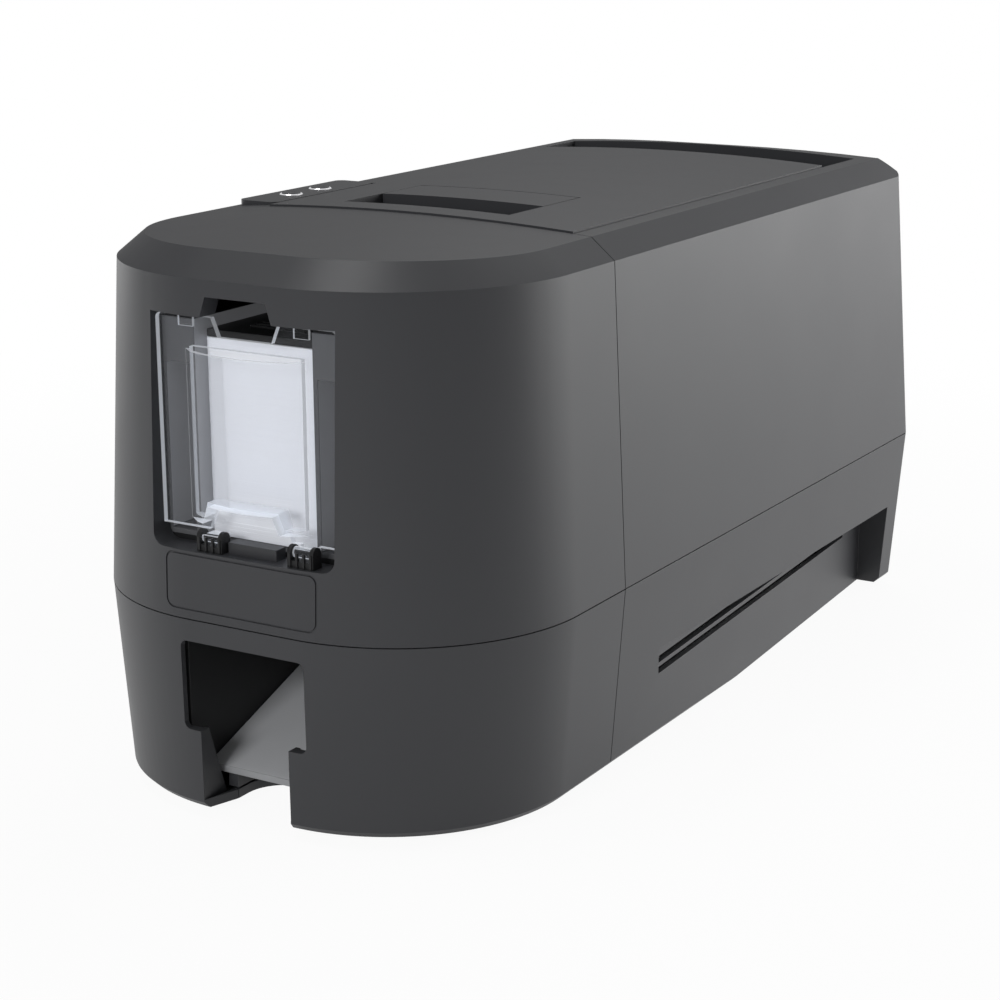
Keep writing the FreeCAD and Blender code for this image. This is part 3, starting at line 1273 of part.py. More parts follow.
# Print head and ribbon cassette, carried by the lid
head_arm_x = (card_half + head_side, card_half + head_side + head_arm_thickness)
head_plate_low = path_height + head_plate_rise
head_plate_high = head_plate_low + head_plate_thickness
head_y = about(platen_y, head_half_length)
head_arm_y = (platen_y + head_arm_setback, platen_y + head_arm_setback + head_arm_length)
head_arm = box("head_arm", head_arm_x, head_arm_y, (head_plate_low, lid_ceiling))
head_plate = box("head_plate", both_sides(head_arm_x[1]), (head_y[0], head_arm_y[1]),
                 (head_plate_low, head_plate_high))
head_bracket = fuse("head_bracket", pair("head_arms", head_arm), head_plate)
head_low = path_height + gate_height
print_head = prism("print_head", "YZ",
                   [(head_y[0], head_plate_low), (head_y[0], head_low + head_lead),
                    (head_y[0] + head_lead, head_low), (head_y[1] - head_lead, head_low),
                    (head_y[1], head_low + head_lead), (head_y[1], head_plate_low)],
                   both_sides(head_arm_x[1]))
takeup_y = platen_y - takeup_setback
takeup_height = path_height + takeup_rise
supply_y = platen_y + supply_setback
supply_height = path_height + supply_rise
cassette_side = frame_inner - cassette_gap
cassette_x = (cassette_side, cassette_side + cassette_sheet)
cassette_front = platen_y - cassette_front_reach
cassette_rear = platen_y + cassette_rear_reach
cassette_low = path_height + cassette_rise
cassette_top = takeup_height + cassette_shoulder
cassette_plate = prism("cassette_plate", "YZ",
                       [(cassette_front, takeup_height - cassette_shoulder), (takeup_y, cassette_low),
                        (supply_y, cassette_low - cassette_toe), (cassette_rear, cassette_low),
                        (cassette_rear, cassette_top), (supply_y + cassette_horn, lid_ceiling),
                        (supply_y - cassette_horn / 2, lid_ceiling), (supply_y - cassette_horn, cassette_top),
                        (takeup_y + cassette_shoulder, cassette_top), (takeup_y + cassette_horn, lid_ceiling),
                        (takeup_y, lid_ceiling), (cassette_front, cassette_top - crossbar_radius)],
                       cassette_x,
                       holes=[(takeup_y, takeup_height, spool_shaft_radius + running),
                              (supply_y, supply_height, spool_shaft_radius + running)])
crossbar_z = cassette_top - crossbar_inset
crossbars = [rod(f"{name}_crossbar", both_sides(cassette_side + bite), y, crossbar_z, crossbar_radius)
             for name, y in (("front", cassette_front + crossbar_inset), ("rear", cassette_rear - crossbar_inset))]
ribbon_cassette = fuse("ribbon_cassette", pair("cassette_plates", cassette_plate), *crossbars)
ribbon_half = card_half + ribbon_margin


def spool(name, y, z, flange_radius):
    reach = ribbon_half + bite
    parts = [rod(name + "_shaft", both_sides(cassette_x[1] + bite), y, z, spool_shaft_radius),
             rod(name + "_core", both_sides(reach), y, z, spool_core_radius)]
    for side, start in (("left", -reach - spool_flange_width), ("right", reach)):
        parts.append(rod(f"{name}_{side}_flange", (start, start + spool_flange_width), y, z, flange_radius))
    return fuse(name, *parts)


def ribbon_roll(name, y, z, radius):
    wound = rod(name + "_wound", both_sides(ribbon_half), y, z, radius)
    bore = rod(name + "_bore", both_sides(ribbon_half + bite), y, z, spool_core_radius + running)
    return cut(name, wound, bore)


takeup_spool = spool("takeup_spool", takeup_y, takeup_height, takeup_roll_radius + spool_flange_rim)
supply_spool = spool("supply_spool", supply_y, supply_height, supply_roll_radius + spool_flange_rim)
takeup_roll = ribbon_roll("takeup_roll", takeup_y, takeup_height, takeup_roll_radius)
supply_roll = ribbon_roll("supply_roll", supply_y, supply_height, supply_roll_radius)

# Circuit boards and the ports on the rear flange
board_x = -frame_outer - standoff_length
board_y = (rear - main_board_rear_gap - main_board_length, rear - main_board_rear_gap)
board_z = (base_top + main_board_rise, base_top + main_board_rise + main_board_height)
board_face = board_x - board_thickness
board_middle = (board_y[0] + board_y[1]) / 2
chip_x = (board_face - chip_height, board_face + board_thickness / 2)
chip_z = about((board_z[0] + board_z[1]) / 2, chip_size / 2)
chips = [box(f"chip_{index}", chip_x, about(board_middle + chip_size * offset, chip_size / 2), chip_z)
         for index, offset in enumerate((-2, 1))]
circuit_board = fuse("circuit_board", box("board_sheet", (board_face, board_x), board_y, board_z), *chips)
standoff_places = [(y, z) for y in (board_y[0] + standoff_inset, board_y[1] - standoff_inset)
                   for z in (board_z[0] + standoff_inset, board_z[1] - standoff_inset)]
board_standoffs = fuse("board_standoffs", *[rod(f"standoff_{index}", (board_x, -frame_outer), y, z, standoff_radius)
                                            for index, (y, z) in enumerate(standoff_places)])
port_board_low = foot_height + port_board_rise
port_board_y = flange_y + frame_sheet
port_start = port_board_y + board_thickness
port_face = rear - port_face_gap
mouth_y = (port_face - port_recess, port_face + bite)
port_board = box("port_board", both_sides(frame_side - port_board_inset), (port_board_y, port_start),
                 (port_board_low, port_board_low + port_board_height))


def port_block(name, x, width, height):
    return box(name, about(x, width / 2), (port_start, port_face), (port_low, port_low + height))


def port(name, x, width, height):
    """A port's body with a rim round its mouth."""
    mouth = box(name + "_mouth", about(x, width / 2 - port_rim), mouth_y,
                (port_low + port_rim, port_low + height - port_rim))
    return cut(name, port_block(name + "_body", x, width, height), mouth)


usb_port = port("usb_port", usb_x, usb_width, usb_height)
network_port = port("network_port", network_x, network_width, network_height)
inlet_height_middle = port_low + inlet_height / 2
inlet_mouth = rod("inlet_mouth", inlet_x, mouth_y, inlet_height_middle, inlet_bore)
inlet_contact = rod("inlet_contact", inlet_x, (mouth_y[0] - bite, port_face - bite), inlet_height_middle,
                    inlet_bore / 3)
power_inlet = fuse("power_inlet",
                   cut("inlet_shell", port_block("inlet_body", inlet_x, inlet_width, inlet_height), inlet_mouth),
                   inlet_contact)

nodes = [
    base_plate, base_shell, front_lower_cover, front_upper_cover, rear_upper_cover, feet, side_frame_left,
    side_frame_right, gear_studs, rear_cross_tie, lid_hinge_pins, hopper_floor, hopper_housing, card_stack, door_clips,
    door_pins, hopper_door, channel, output_tray, card_path_guide, drive_motor, circuit_board, board_standoffs,
    port_board, usb_port, network_port, power_inlet, button_rings, button_board, top_lid, slot_liner, head_bracket,
    print_head, ribbon_cassette, latch_flap, latch_bar, power_button, user_button, motor_pinion, takeup_spool,
    takeup_roll, supply_spool, supply_roll, *roller_nodes, *idler_gears,
]
document.recompute()
for item in document.Objects:
    if "Invalid" in item.State or "Error" in item.State:
        raise RuntimeError(f"{item.Name} failed to build")
os.makedirs("parts", exist_ok=True)
for node in nodes:
    node.Label = node.Name
    if node.Shape.isNull() or not node.Shape.isValid():
        raise RuntimeError(f"{node.Name} has no valid shape")
    node.Shape.exportStep(os.path.join("parts", node.Label + ".step"))
print(len(nodes), "nodes")
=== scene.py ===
import json
import math
import random

import bmesh
import bpy
from mathutils import Matrix, Vector


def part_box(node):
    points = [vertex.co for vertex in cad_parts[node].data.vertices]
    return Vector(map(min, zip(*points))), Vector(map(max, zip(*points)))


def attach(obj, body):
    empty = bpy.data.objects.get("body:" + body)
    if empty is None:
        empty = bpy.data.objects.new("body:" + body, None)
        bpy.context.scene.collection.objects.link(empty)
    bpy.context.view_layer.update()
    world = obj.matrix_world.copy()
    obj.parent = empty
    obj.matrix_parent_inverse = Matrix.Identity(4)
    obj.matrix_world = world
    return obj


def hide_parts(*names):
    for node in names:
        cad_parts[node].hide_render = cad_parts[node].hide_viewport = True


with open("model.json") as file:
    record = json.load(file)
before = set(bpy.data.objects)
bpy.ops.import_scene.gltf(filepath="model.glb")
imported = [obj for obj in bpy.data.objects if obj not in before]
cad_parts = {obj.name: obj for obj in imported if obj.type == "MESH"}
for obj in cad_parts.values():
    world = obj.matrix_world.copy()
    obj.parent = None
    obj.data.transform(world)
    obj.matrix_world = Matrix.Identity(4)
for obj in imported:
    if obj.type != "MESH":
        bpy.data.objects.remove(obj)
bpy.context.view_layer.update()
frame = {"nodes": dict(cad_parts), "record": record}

bl_info = {
    "name": "Card printer finishes",
    "version": (1, 0, 0),
    "blender": (4, 5, 0),
    "location": "View3D > Sidebar > Card printer",
    "description": "Covers, door, cards and works of a card printer, with finishes and stage",
    "category": "Add Mesh",
}

MM = 0.001
NODES = frame["nodes"]
BODY_OF = {node: body for body, nodes in frame["record"]["behaviour"]["bodies"].items()
           for node in nodes}
SLOT_OF = {part["node"]: part["material_slot"] for part in frame["record"]["subparts"]}

# Joining a CAD node's triangles or a turned shape's seam, and rounding edges
MERGE_DISTANCE = 0.005 * MM
SEAM_DISTANCE = 0.0005 * MM
SLIVER_LENGTH = 0.001 * MM
FLAT_ANGLE = math.radians(0.4)
SHARP_ANGLE = math.radians(28)
CLIP_RADIUS = 0.2 * MM
FINE_RADIUS = 0.25 * MM
PART_RADIUS = 0.3 * MM

# A face stands along an axis where its normal has less than this share of it
ALONG = 0.3

# Angles up to which faces are shaded as one skin, in degrees
SMOOTH_PLAIN = 25
SMOOTH_TURNED = 30
SMOOTH_CAP = 35
SMOOTH_CARD = 40
SMOOTH_ROUNDED = 50

# The notch under the outlet, in millimetres
NOTCH_HALF_WIDTH = 21.15
TOE_REAR = -203.6
TOE_TOP = 8.5

# The tray's apron round the notch; heights are above the tray's foot, in millimetres
APRON_END = (17.5, 19.0)
APRON_WIDE_END = 20.8
APRON_FRONT = -203.0
APRON_TOP = 7.5
SHEET_FOOT = 5.4
SHEET_FRONT_FOOT = 5.0

# Ribs on the fronts of the door's hinge clips, in millimetres
CLIP_RIB_STARTS = (-20.6, 22.4)
CLIP_RIBS = 4
CLIP_RIB_PITCH = 3.2
CLIP_RIB_WIDTH = 1.0

# Cards: corner radius, play in the stack, share of the pitch that a card fills, random seed
CARD_CORNER = 3.2 * MM
CARD_SLACK = 0.06 * MM
CARD_FILL = 0.985
CARD_SEED = 11

# Grain of the spark-eroded moulds
GRAIN_SIZE = 0.45 * MM

# A pan head's outline, outwards and upwards, and its recess bars' length, width, depth and
# height, as shares of its radius
PAN_HEAD = ((0, 0.62), (0.5, 0.58), (0.86, 0.36), (1, 0.1), (1, 0), (0, 0))
# The recess bars are black, painted shade in the cross recess
RECESS_BAR = (1.1, 0.22, 0.2, 0.54)

# Steps of turned shapes
SCREW_STEPS = 20
CAN_STEPS = 24
BUTTON_STEPS = 40

# CAD nodes that get rounded edges, and the names of their pieces
COVERS = (
    ("front_upper_cover", "upper_front_housing"),
    ("front_lower_cover", "lower_front_housing"),
    ("rear_upper_cover", "upper_rear_housing"),
    ("base_shell", "lower_rear_housing"),
    ("top_lid", "ribbon_bay_lid"),
    ("latch_flap", "lid_finger_flap"),
)
WORKS = (
    ("slot_liner", "latch_slot_liner"),
    ("side_frame_left", "left_side_frame"),
    ("side_frame_right", "right_side_frame"),
    ("rear_cross_tie", "rear_frame_tie"),
    ("base_plate", "base_floor"),
    ("head_bracket", "print_head_holder"),
    ("print_head", "thermal_head"),
    ("ribbon_cassette", "ribbon_cassette_sides"),
    ("drive_motor", "stepper_motor"),
    ("card_path_guide", "card_guide_rails"),
    ("latch_bar", "lid_latch_bar"),
    ("feet", "rubber_feet"),
)
ROLLERS = ("feed_roller", "pick_roller", "platen_roller", "rear_roller", "takeup_spool",
           "supply_spool", "takeup_roll", "supply_roll")

# Screws in the side frames (y, z; the upper one hangs from the tie) and in the base (x, y), in mm
FRAME_SCREWS = ((-170, 24), (-30, 24), (120, 24), (150, 60))
TIE_SCREW_Y = 150
TIE_SCREW_DROP = 20
BASE_SCREWS = ((-72, -120), (72, -120), (-60, 60), (60, 60), (-40, 196), (40, 196),
               (-20, -150), (20, -150))
FRAME_SCREW_RADIUS = 2.2
BASE_SCREW_RADIUS = 2.4

# Capacitors on the main board: y, z, radius and height, in mm
CAPACITORS = ((20, 34, 4, 7), (31, 34, 4, 7), (42, 34, 3, 6), (88, 74, 4, 7), (88, 62, 3, 6))

# Lamps: name, place, size and power in watts
LAMPS = (
    ("left_softbox", (-1.5, 0.25, 0.15), (0.6, 0.4), 1.2),
    ("right_softbox", (1.1, 1.2, 0.5), (1.5, 1.0), 18.0),
    ("top_softbox", (-0.2, 0.8, 1.3), (0.7, 0.7), 4.2),
    ("brow_light", (-0.29, -0.32, 1.53), (0.35, 0.35), 3.8),
    ("front_fill", (-0.05, -1.5, 0.62), (0.5, 0.4), 8.0),
)
LAMP_TARGET = Vector((0, 0, 0.1))
UNMIRRORED_LAMP = "front_fill"
WHITE = (1, 1, 1, 1)


# Settings that a user may change
class FinishSettings(bpy.types.PropertyGroup):
    cover_colour: bpy.props.FloatVectorProperty(
        name="Cover colour", description="Charcoal plastic of the covers and the lid",
        subtype="COLOR", default=(0.042, 0.043, 0.047), min=0, max=1)
    inner_colour: bpy.props.FloatVectorProperty(
        name="Inner colour", description="Black plastic behind the openings",
        subtype="COLOR", default=(0.0125, 0.0128, 0.0135), min=0, max=1)
    housing_colour: bpy.props.FloatVectorProperty(
        name="Hopper colour", description="Dark grey plastic of the card hopper",
        subtype="COLOR", default=(0.11, 0.112, 0.118), min=0, max=1)
    tray_colour: bpy.props.FloatVectorProperty(
        name="Tray colour", description="Grey plastic of the output tray",
        subtype="COLOR", default=(0.55, 0.56, 0.58), min=0, max=1)
    card_colour: bpy.props.FloatVectorProperty(
        name="Card colour", description="White plastic of the blank cards",
        subtype="COLOR", default=(0.84, 0.86, 0.91), min=0, max=1)
    # Colour of the painted highlight on the clear door's edges
    door_highlight_colour: bpy.props.FloatVectorProperty(
        name="Door colour", description="Colour that the clear door's edges catch",
        subtype="COLOR", default=(0.86, 0.89, 0.94), min=0, max=1)


class DetailSettings(bpy.types.PropertyGroup):
    edge_radius: bpy.props.FloatProperty(
        name="Edge radius", description="Rounding of the moulded edges",
        subtype="DISTANCE", unit="LENGTH", default=0.5 * MM, min=0)
    door_edge_radius: bpy.props.FloatProperty(
        name="Door edge radius", description="Rounding of the clear door's edges",
        subtype="DISTANCE", unit="LENGTH", default=0.5 * MM, min=0)
    card_thickness: bpy.props.FloatProperty(
        name="Card thickness", description="Thickness of one card in the stack",
        subtype="DISTANCE", unit="LENGTH", default=0.76 * MM, min=0.1 * MM)


class StageSettings(bpy.types.PropertyGroup):
    camera_place: bpy.props.FloatVectorProperty(
        name="Camera place", description="Where the camera stands",
        subtype="TRANSLATION", unit="LENGTH", default=(0.5162, -0.88705, 0.36242))
    camera_yaw: bpy.props.FloatProperty(
        name="Camera yaw", description="Turn of the view from straight ahead",
        subtype="ANGLE", unit="ROTATION", default=math.radians(29.95))
    camera_pitch: bpy.props.FloatProperty(
        name="Camera pitch", description="How far the view looks down",
        subtype="ANGLE", unit="ROTATION", default=math.radians(15.49))
    camera_lens: bpy.props.FloatProperty(
        name="Lens", description="Focal length of the camera in millimetres",
        default=82.107, min=1)
    camera_shift: bpy.props.FloatVectorProperty(
        name="Camera shift", description="Shift of the frame as a share of its width",
        size=2, default=(-0.0356, 0.0106))
    floor_reach: bpy.props.FloatProperty(
        name="Floor reach", description="Radius of the floor",
        subtype="DISTANCE", unit="LENGTH", default=4.0)
    fill_strength: bpy.props.FloatProperty(
        name="Fill", description="Brightness of the light from all round",
        default=0.26, min=0)


# Shader maths
class Signal:
    """A shader socket; sums, differences and products of signals add their Math nodes."""

    def __init__(self, tree, socket=None):
        self.tree = tree
        self.socket = socket

    def node(self, kind, settings=None, inputs=None, output=0):
        """Adds one node: first its settings, then the values or the links of its sockets."""
        item = self.tree.nodes.new("ShaderNode" + kind)
        for key, value in (settings or {}).items():
            setattr(item, key, value)
        for key, value in (inputs or {}).items():
            if isinstance(value, Signal):
                self.tree.links.new(value.socket, item.inputs[key])
            else:
                item.inputs[key].default_value = value
        return Signal(self.tree, item.outputs[output] if len(item.outputs) else None)

    def maths(self, operation, first, second=0.0, clamp=False):
        settings = {"operation": operation, "use_clamp": clamp}
        return self.node("Math", settings, {0: first, 1: second})

    def __add__(self, other):
        return self.maths("ADD", self, other)

    def __radd__(self, other):
        return self.maths("ADD", other, self)

    def __sub__(self, other):
        return self.maths("SUBTRACT", self, other)

    def __rsub__(self, other):
        return self.maths("SUBTRACT", other, self)

    def __mul__(self, other):
        return self.maths("MULTIPLY", self, other)

    def __rmul__(self, other):
        return self.maths("MULTIPLY", other, self)

    def clamped(self):
        return self.maths("ADD", self, 0.0, clamp=True)

    def place(self):
        """The place on the piece, in its own metres."""
        return self.node("TexCoord", output="Object")

    def ray(self, kind):
        """One where the ray is of a kind, such as Is Camera Ray, and nought elsewhere."""
        return self.node("LightPath", output=kind)

    def stretched(self, place, scale):
        return self.node("Mapping", inputs={"Vector": place, "Scale": scale})

    def noise(self, place, scale, detail=2.0):
        return self.node("TexNoise", inputs={"Vector": place, "Scale": scale, "Detail": detail,
                                             "Roughness": 0.5})

    def waves(self, place, scale, distortion):
        return self.node("TexWave", {"bands_direction": "X"},
                         {"Vector": place, "Scale": scale, "Distortion": distortion})

    def ramp(self, value, low, high, bottom=0.0, top=1.0):
        """Eases from bottom to top while the value goes from low to high."""
        return self.node("MapRange", {"interpolation_type": "SMOOTHSTEP"},
                         {"Value": value, "From Min": low, "From Max": high,
                          "To Min": bottom, "To Max": top})

    def blend(self, factor, first, second):
        """Mixes two colours."""
        return self.node("Mix", {"data_type": "RGBA"}, {0: factor, 6: first, 7: second}, 2)

    def bump(self, height, strength, distance):
        return self.node("Bump", inputs={"Height": height, "Strength": strength,
                                         "Distance": distance})

    def principled(self, **looks):
        """A Principled shader; Base_Color=tone sets its Base Color."""
        return self.node("BsdfPrincipled",
                         inputs={key.replace("_", " "): value for key, value in looks.items()})


def opaque(colour, scale=1.0):
    return (colour[0] * scale, colour[1] * scale, colour[2] * scale, 1.0)


def start_finish(name):
    """An empty material, and the signal that its nodes are added through."""
    material = bpy.data.materials.new(name)
    material.use_nodes = True
    material.node_tree.nodes.clear()
    return material, Signal(material.node_tree)


def close_finish(shader):
    shader.node("OutputMaterial", inputs={"Surface": shader})


def moulded(name, colour, roughness=0.42, grain=0.06, mottle=0.06, specular=0.5, glow=0.0):
    """Moulded plastic: a fine spark-eroded grain, faint mottling and smoother patches."""
    material, tree = start_finish(name)
    place = tree.place()
    patches = tree.noise(place, 22.0, detail=3.0)
    grains = tree.node("TexVoronoi", {"feature": "SMOOTH_F1"},
                       {"Vector": place, "Scale": 1 / GRAIN_SIZE})
    speckle = tree.noise(place, 1 / (GRAIN_SIZE * 0.7))
    tone = tree.blend(patches, opaque(colour, 1 - mottle), opaque(colour, 1 + mottle))
    tone = tree.blend(speckle * 0.25, tone, opaque(colour, 1 + mottle * 4))
    rough = patches * 0.08 + (roughness - 0.04) + speckle * 0.05
    normal = tree.bump(grains + speckle * 0.5, strength=grain, distance=0.1 * MM)
    close_finish(tree.principled(
        Base_Color=tone, Roughness=rough, Normal=normal, Specular_IOR_Level=specular,
        Emission_Color=tone, Emission_Strength=glow))
    return material


def brushed(name, colour, roughness=0.3, stretch=(1.0, 40.0, 40.0), glow=0.0):
    """Sheet or bar metal with fine lines along one axis and a cloudy plating."""
    material, tree = start_finish(name)
    place = tree.place()
    lines = tree.noise(tree.stretched(place, stretch), 60.0, detail=4.0)
    clouds = tree.noise(place, 45.0, detail=3.0)
    tone = tree.blend(clouds, opaque(colour, 0.85), opaque(colour, 1.1))
    rough = lines * 0.18 + clouds * 0.1 + (roughness - 0.12)
    normal = tree.bump(lines, strength=0.12, distance=0.05 * MM)
    close_finish(tree.principled(
        Base_Color=tone, Roughness=rough, Metallic=1.0, Normal=normal,
        Emission_Color=tone, Emission_Strength=glow))
    return material


def rubbery(name, colour, rib=0.0):
    """Rubber with a dusty bloom, and fine ground lines round a roller."""
    material, tree = start_finish(name)
    place = tree.place()
    dust = tree.noise(place, 160.0, detail=5.0)
    ground = tree.waves(place, 900.0, distortion=1.5)
    tone = tree.blend(dust, opaque(colour, 0.8), opaque(colour, 1.5))
    normal = tree.bump(ground * rib + dust * 0.6, strength=0.2, distance=0.1 * MM)
    close_finish(tree.principled(Base_Color=tone, Roughness=dust * 0.15 + 0.67, Normal=normal))
    return material


def clear_plastic(name, colour, base=0.01, rim=0.25, haze=0.05, glow=0.0):
    """Clear polycarbonate: almost nothing face on, brighter where it is seen along its skin."""
    material, tree = start_finish(name)
    smear = tree.noise(tree.place(), 35.0, detail=3.0)
    facing = tree.node("LayerWeight", inputs={"Blend": 0.3}, output="Fresnel")
    cover = (facing * rim + base + smear * 0.02).clamped()
    skin = tree.principled(
        Base_Color=opaque(colour), Roughness=smear * 0.04 + haze, Specular_IOR_Level=0.6,
        Emission_Color=opaque(colour), Emission_Strength=glow)
    through = tree.node("BsdfTransparent", inputs={"Color": (0.985, 0.988, 0.995, 1)})
    close_finish(tree.node("MixShader", inputs={0: cover, 1: through, 2: skin}))
    material.surface_render_method = "BLENDED"
    return material


def card_white(name, colour):
    """Glossy card edges with a faint tint from one card to the next, and a faint glow of painted
    light.
    """
    material, tree = start_finish(name)
    layered = tree.stretched(tree.place(), (2.0, 2.0, 300.0))
    layers = tree.noise(layered, 1.5, detail=1.0)
    tone = tree.blend(layers, opaque(colour, 0.99), opaque(colour, 1.01))
    # The emission is painted light, brightening the cards deep in the hopper
    close_finish(tree.principled(Base_Color=tone, Roughness=layers * 0.1 + 0.3,
                                 Emission_Color=tone, Emission_Strength=0.12))
    return material


def board_green(name, colour):
    """Solder mask over copper tracks."""
    material, tree = start_finish(name)
    cells = tree.node("TexVoronoi", {"feature": "DISTANCE_TO_EDGE", "distance": "EUCLIDEAN"},
                      {"Vector": tree.place(), "Scale": 260.0})
    tracks = tree.maths("LESS_THAN", cells, 0.06)
    tone = tree.blend(tracks, opaque(colour, 0.9), opaque(colour, 1.8))
    normal = tree.bump(tracks, strength=0.3, distance=0.05 * MM)
    close_finish(tree.principled(Base_Color=tone, Roughness=tracks * 0.1 + 0.3, Normal=normal,
                                 Coat_Weight=0.4))
    return material


def ribbon_film(name, colour):
    """Dyed film, wound edge to edge on its roll."""
    material, tree = start_finish(name)
    place = tree.place()
    wound = tree.waves(place, 1500.0, distortion=2.0)
    shade = tree.noise(place, 80.0)
    tone = tree.blend(shade, opaque(colour, 0.7), opaque(colour, 1.6))
    normal = tree.bump(wound, strength=0.1, distance=0.03 * MM)
    close_finish(tree.principled(Base_Color=tone, Roughness=shade * 0.1 + 0.12, Normal=normal))
    return material


FINISHES = {}


def make_finishes(settings):
    def add(maker, name, colour, **looks):
        FINISHES[name] = maker(name, colour, **looks)

    # Painted light: the hopper grey 2.8 times lighter, for the hopper walls behind the window
    painted_light_housing = tuple(part * 2.8 for part in settings.housing_colour)
    # Painted shade: the tray grey darkened to 0.6 for faces that look forward
    tray_shade_colour = tuple(part * 0.6 for part in settings.tray_colour)
    add(moulded, "charcoal_plastic", settings.cover_colour)
    add(moulded, "black_plastic", settings.inner_colour, roughness=0.5, mottle=0.1)
    add(moulded, "housing_plastic", settings.housing_colour, roughness=0.5)
    # The hopper walls' finish is painted light: a lighter grey that also glows
    add(moulded, "hopper_back", painted_light_housing, roughness=0.5, glow=0.14)
    add(clear_plastic, "clear_plastic", (0.30, 0.31, 0.33))
    # Painted highlight: the door's edges take a half-opaque white that also glows
    add(clear_plastic, "clear_edge", settings.door_highlight_colour, base=0.5, rim=0.3, haze=0.15,
        glow=0.24)
    add(card_white, "card_white", settings.card_colour)
    add(moulded, "tray_grey", settings.tray_colour, roughness=0.38, grain=0.03)
    # The tray's front faces get the darker grey, painted shade
    add(moulded, "tray_edge", tray_shade_colour, roughness=0.38)
    add(brushed, "frame_steel", (0.55, 0.56, 0.57), stretch=(40.0, 1.0, 40.0))
    add(brushed, "shaft_steel", (0.6, 0.6, 0.62), roughness=0.22, stretch=(1.0, 60.0, 60.0))
    add(rubbery, "roller_rubber", (0.03, 0.03, 0.033), rib=0.4)
    add(moulded, "gear_plastic", (0.78, 0.75, 0.66), roughness=0.36, grain=0.03)
    add(rubbery, "foot_rubber", (0.018, 0.018, 0.018))
    add(moulded, "motor_metal", (0.06, 0.06, 0.066), roughness=0.3, grain=0.05, specular=0.7)
    add(board_green, "board_green", (0.02, 0.16, 0.07))
    add(brushed, "port_metal", (0.68, 0.68, 0.7), roughness=0.25)
    # Painted highlight: the ring finish glows, and the socket contacts take it too
    add(brushed, "ring_metal", (0.9, 0.9, 0.92), roughness=0.2, stretch=(8.0, 8.0, 1.0),
        glow=0.45)
    add(moulded, "button_plastic", (0.05, 0.051, 0.056), roughness=0.35)
    add(ribbon_film, "ribbon_film", (0.10, 0.05, 0.12))
    add(moulded, "spool_plastic", (0.17, 0.18, 0.2), roughness=0.4)


def finish_of(node):
    return FINISHES[SLOT_OF[node]]


# Mesh helpers
def add_object(name, mesh_maker, materials):
    """Turns a finished bmesh into an object in the scene."""
    mesh = bpy.data.meshes.new(name)
    mesh_maker.to_mesh(mesh)
    mesh_maker.free()
    item = bpy.data.objects.new(name, mesh)
    bpy.context.scene.collection.objects.link(item)
    for material in materials:
        mesh.materials.append(material)
    return item


def add_piece(name, mesh_maker, body, materials, replaced=()):
    """Turns a finished bmesh into a piece at the origin that rides on a body."""
    piece = add_object(name, mesh_maker, materials)
    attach(piece, body)
    if replaced:
        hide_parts(*replaced)
    return piece


def smooth_by_angle(piece, degrees):
    """Smooths within the angle; a face counts by its area there, so that wide faces look flat."""
    mesh = piece.data
    mesh.polygons.foreach_set("use_smooth", [True] * len(mesh.polygons))
    limit = math.cos(math.radians(degrees))
    around = [[] for _ in mesh.vertices]
    for face in mesh.polygons:
        own = face.normal.copy()
        for index in face.vertices:
            around[index].append((own, own * face.area))
    normals = []
    for face in mesh.polygons:
        own = face.normal.copy()
        for index in face.vertices:
            total = sum((share for normal, share in around[index] if normal.dot(own) > limit),
                        Vector())
            normals.append(total.normalized() if total.length > 0 else own)
    mesh.normals_split_custom_set(normals)


def merged_copy(node):
    """A CAD node's mesh with its triangles joined into the faces that they make up."""
    copy = bmesh.new()
    copy.from_mesh(NODES[node].data)
    bmesh.ops.remove_doubles(copy, verts=copy.verts, dist=MERGE_DISTANCE)
    bmesh.ops.dissolve_degenerate(copy, edges=copy.edges, dist=SLIVER_LENGTH)
    bmesh.ops.dissolve_limit(copy, angle_limit=FLAT_ANGLE, verts=copy.verts, edges=copy.edges)
    return copy


def bevel(mesh_maker, edges, radius, segments=2):
    """Rounds the edges, and gives back the new faces."""
    return bmesh.ops.bevel(mesh_maker, geom=edges, offset=radius, offset_type="OFFSET",
                           affect="EDGES", segments=segments, profile=0.5, material=-1,
                           clamp_overlap=True)["faces"]


def soften(copy, radius):
    """Rounds the edges between faces that meet sharply, and gives back the new faces."""
    return bevel(copy, [edge for edge in copy.edges if len(edge.link_faces) == 2
                        and edge.calc_face_angle(0.0) > SHARP_ANGLE], radius)


def flare_notch(copy):
    """Opens the mouth of the notch out to the insides of the lips, as the toes run forward."""
    half = NOTCH_HALF_WIDTH * MM
    rear = TOE_REAR * MM
    toes = [vert for vert in copy.verts
            if abs(vert.co.x) < half and vert.co.y < rear and vert.co.z < TOE_TOP * MM]
    front = min((vert.co.y for vert in toes), default=rear - MM)
    for vert in toes:
        share = (rear - vert.co.y) / (rear - front)
        vert.co.x += math.copysign((half - abs(vert.co.x)) * share, vert.co.x)


def softened_piece(node, name, radius, change=None):
    """A piece with rounded edges in the place of a CAD node; change alters its mesh first."""
    copy = merged_copy(node)
    if change:
        change(copy)
    soften(copy, radius)
    piece = add_piece(name, copy, BODY_OF[node], [finish_of(node)], (node,))
    smooth_by_angle(piece, SMOOTH_ROUNDED)


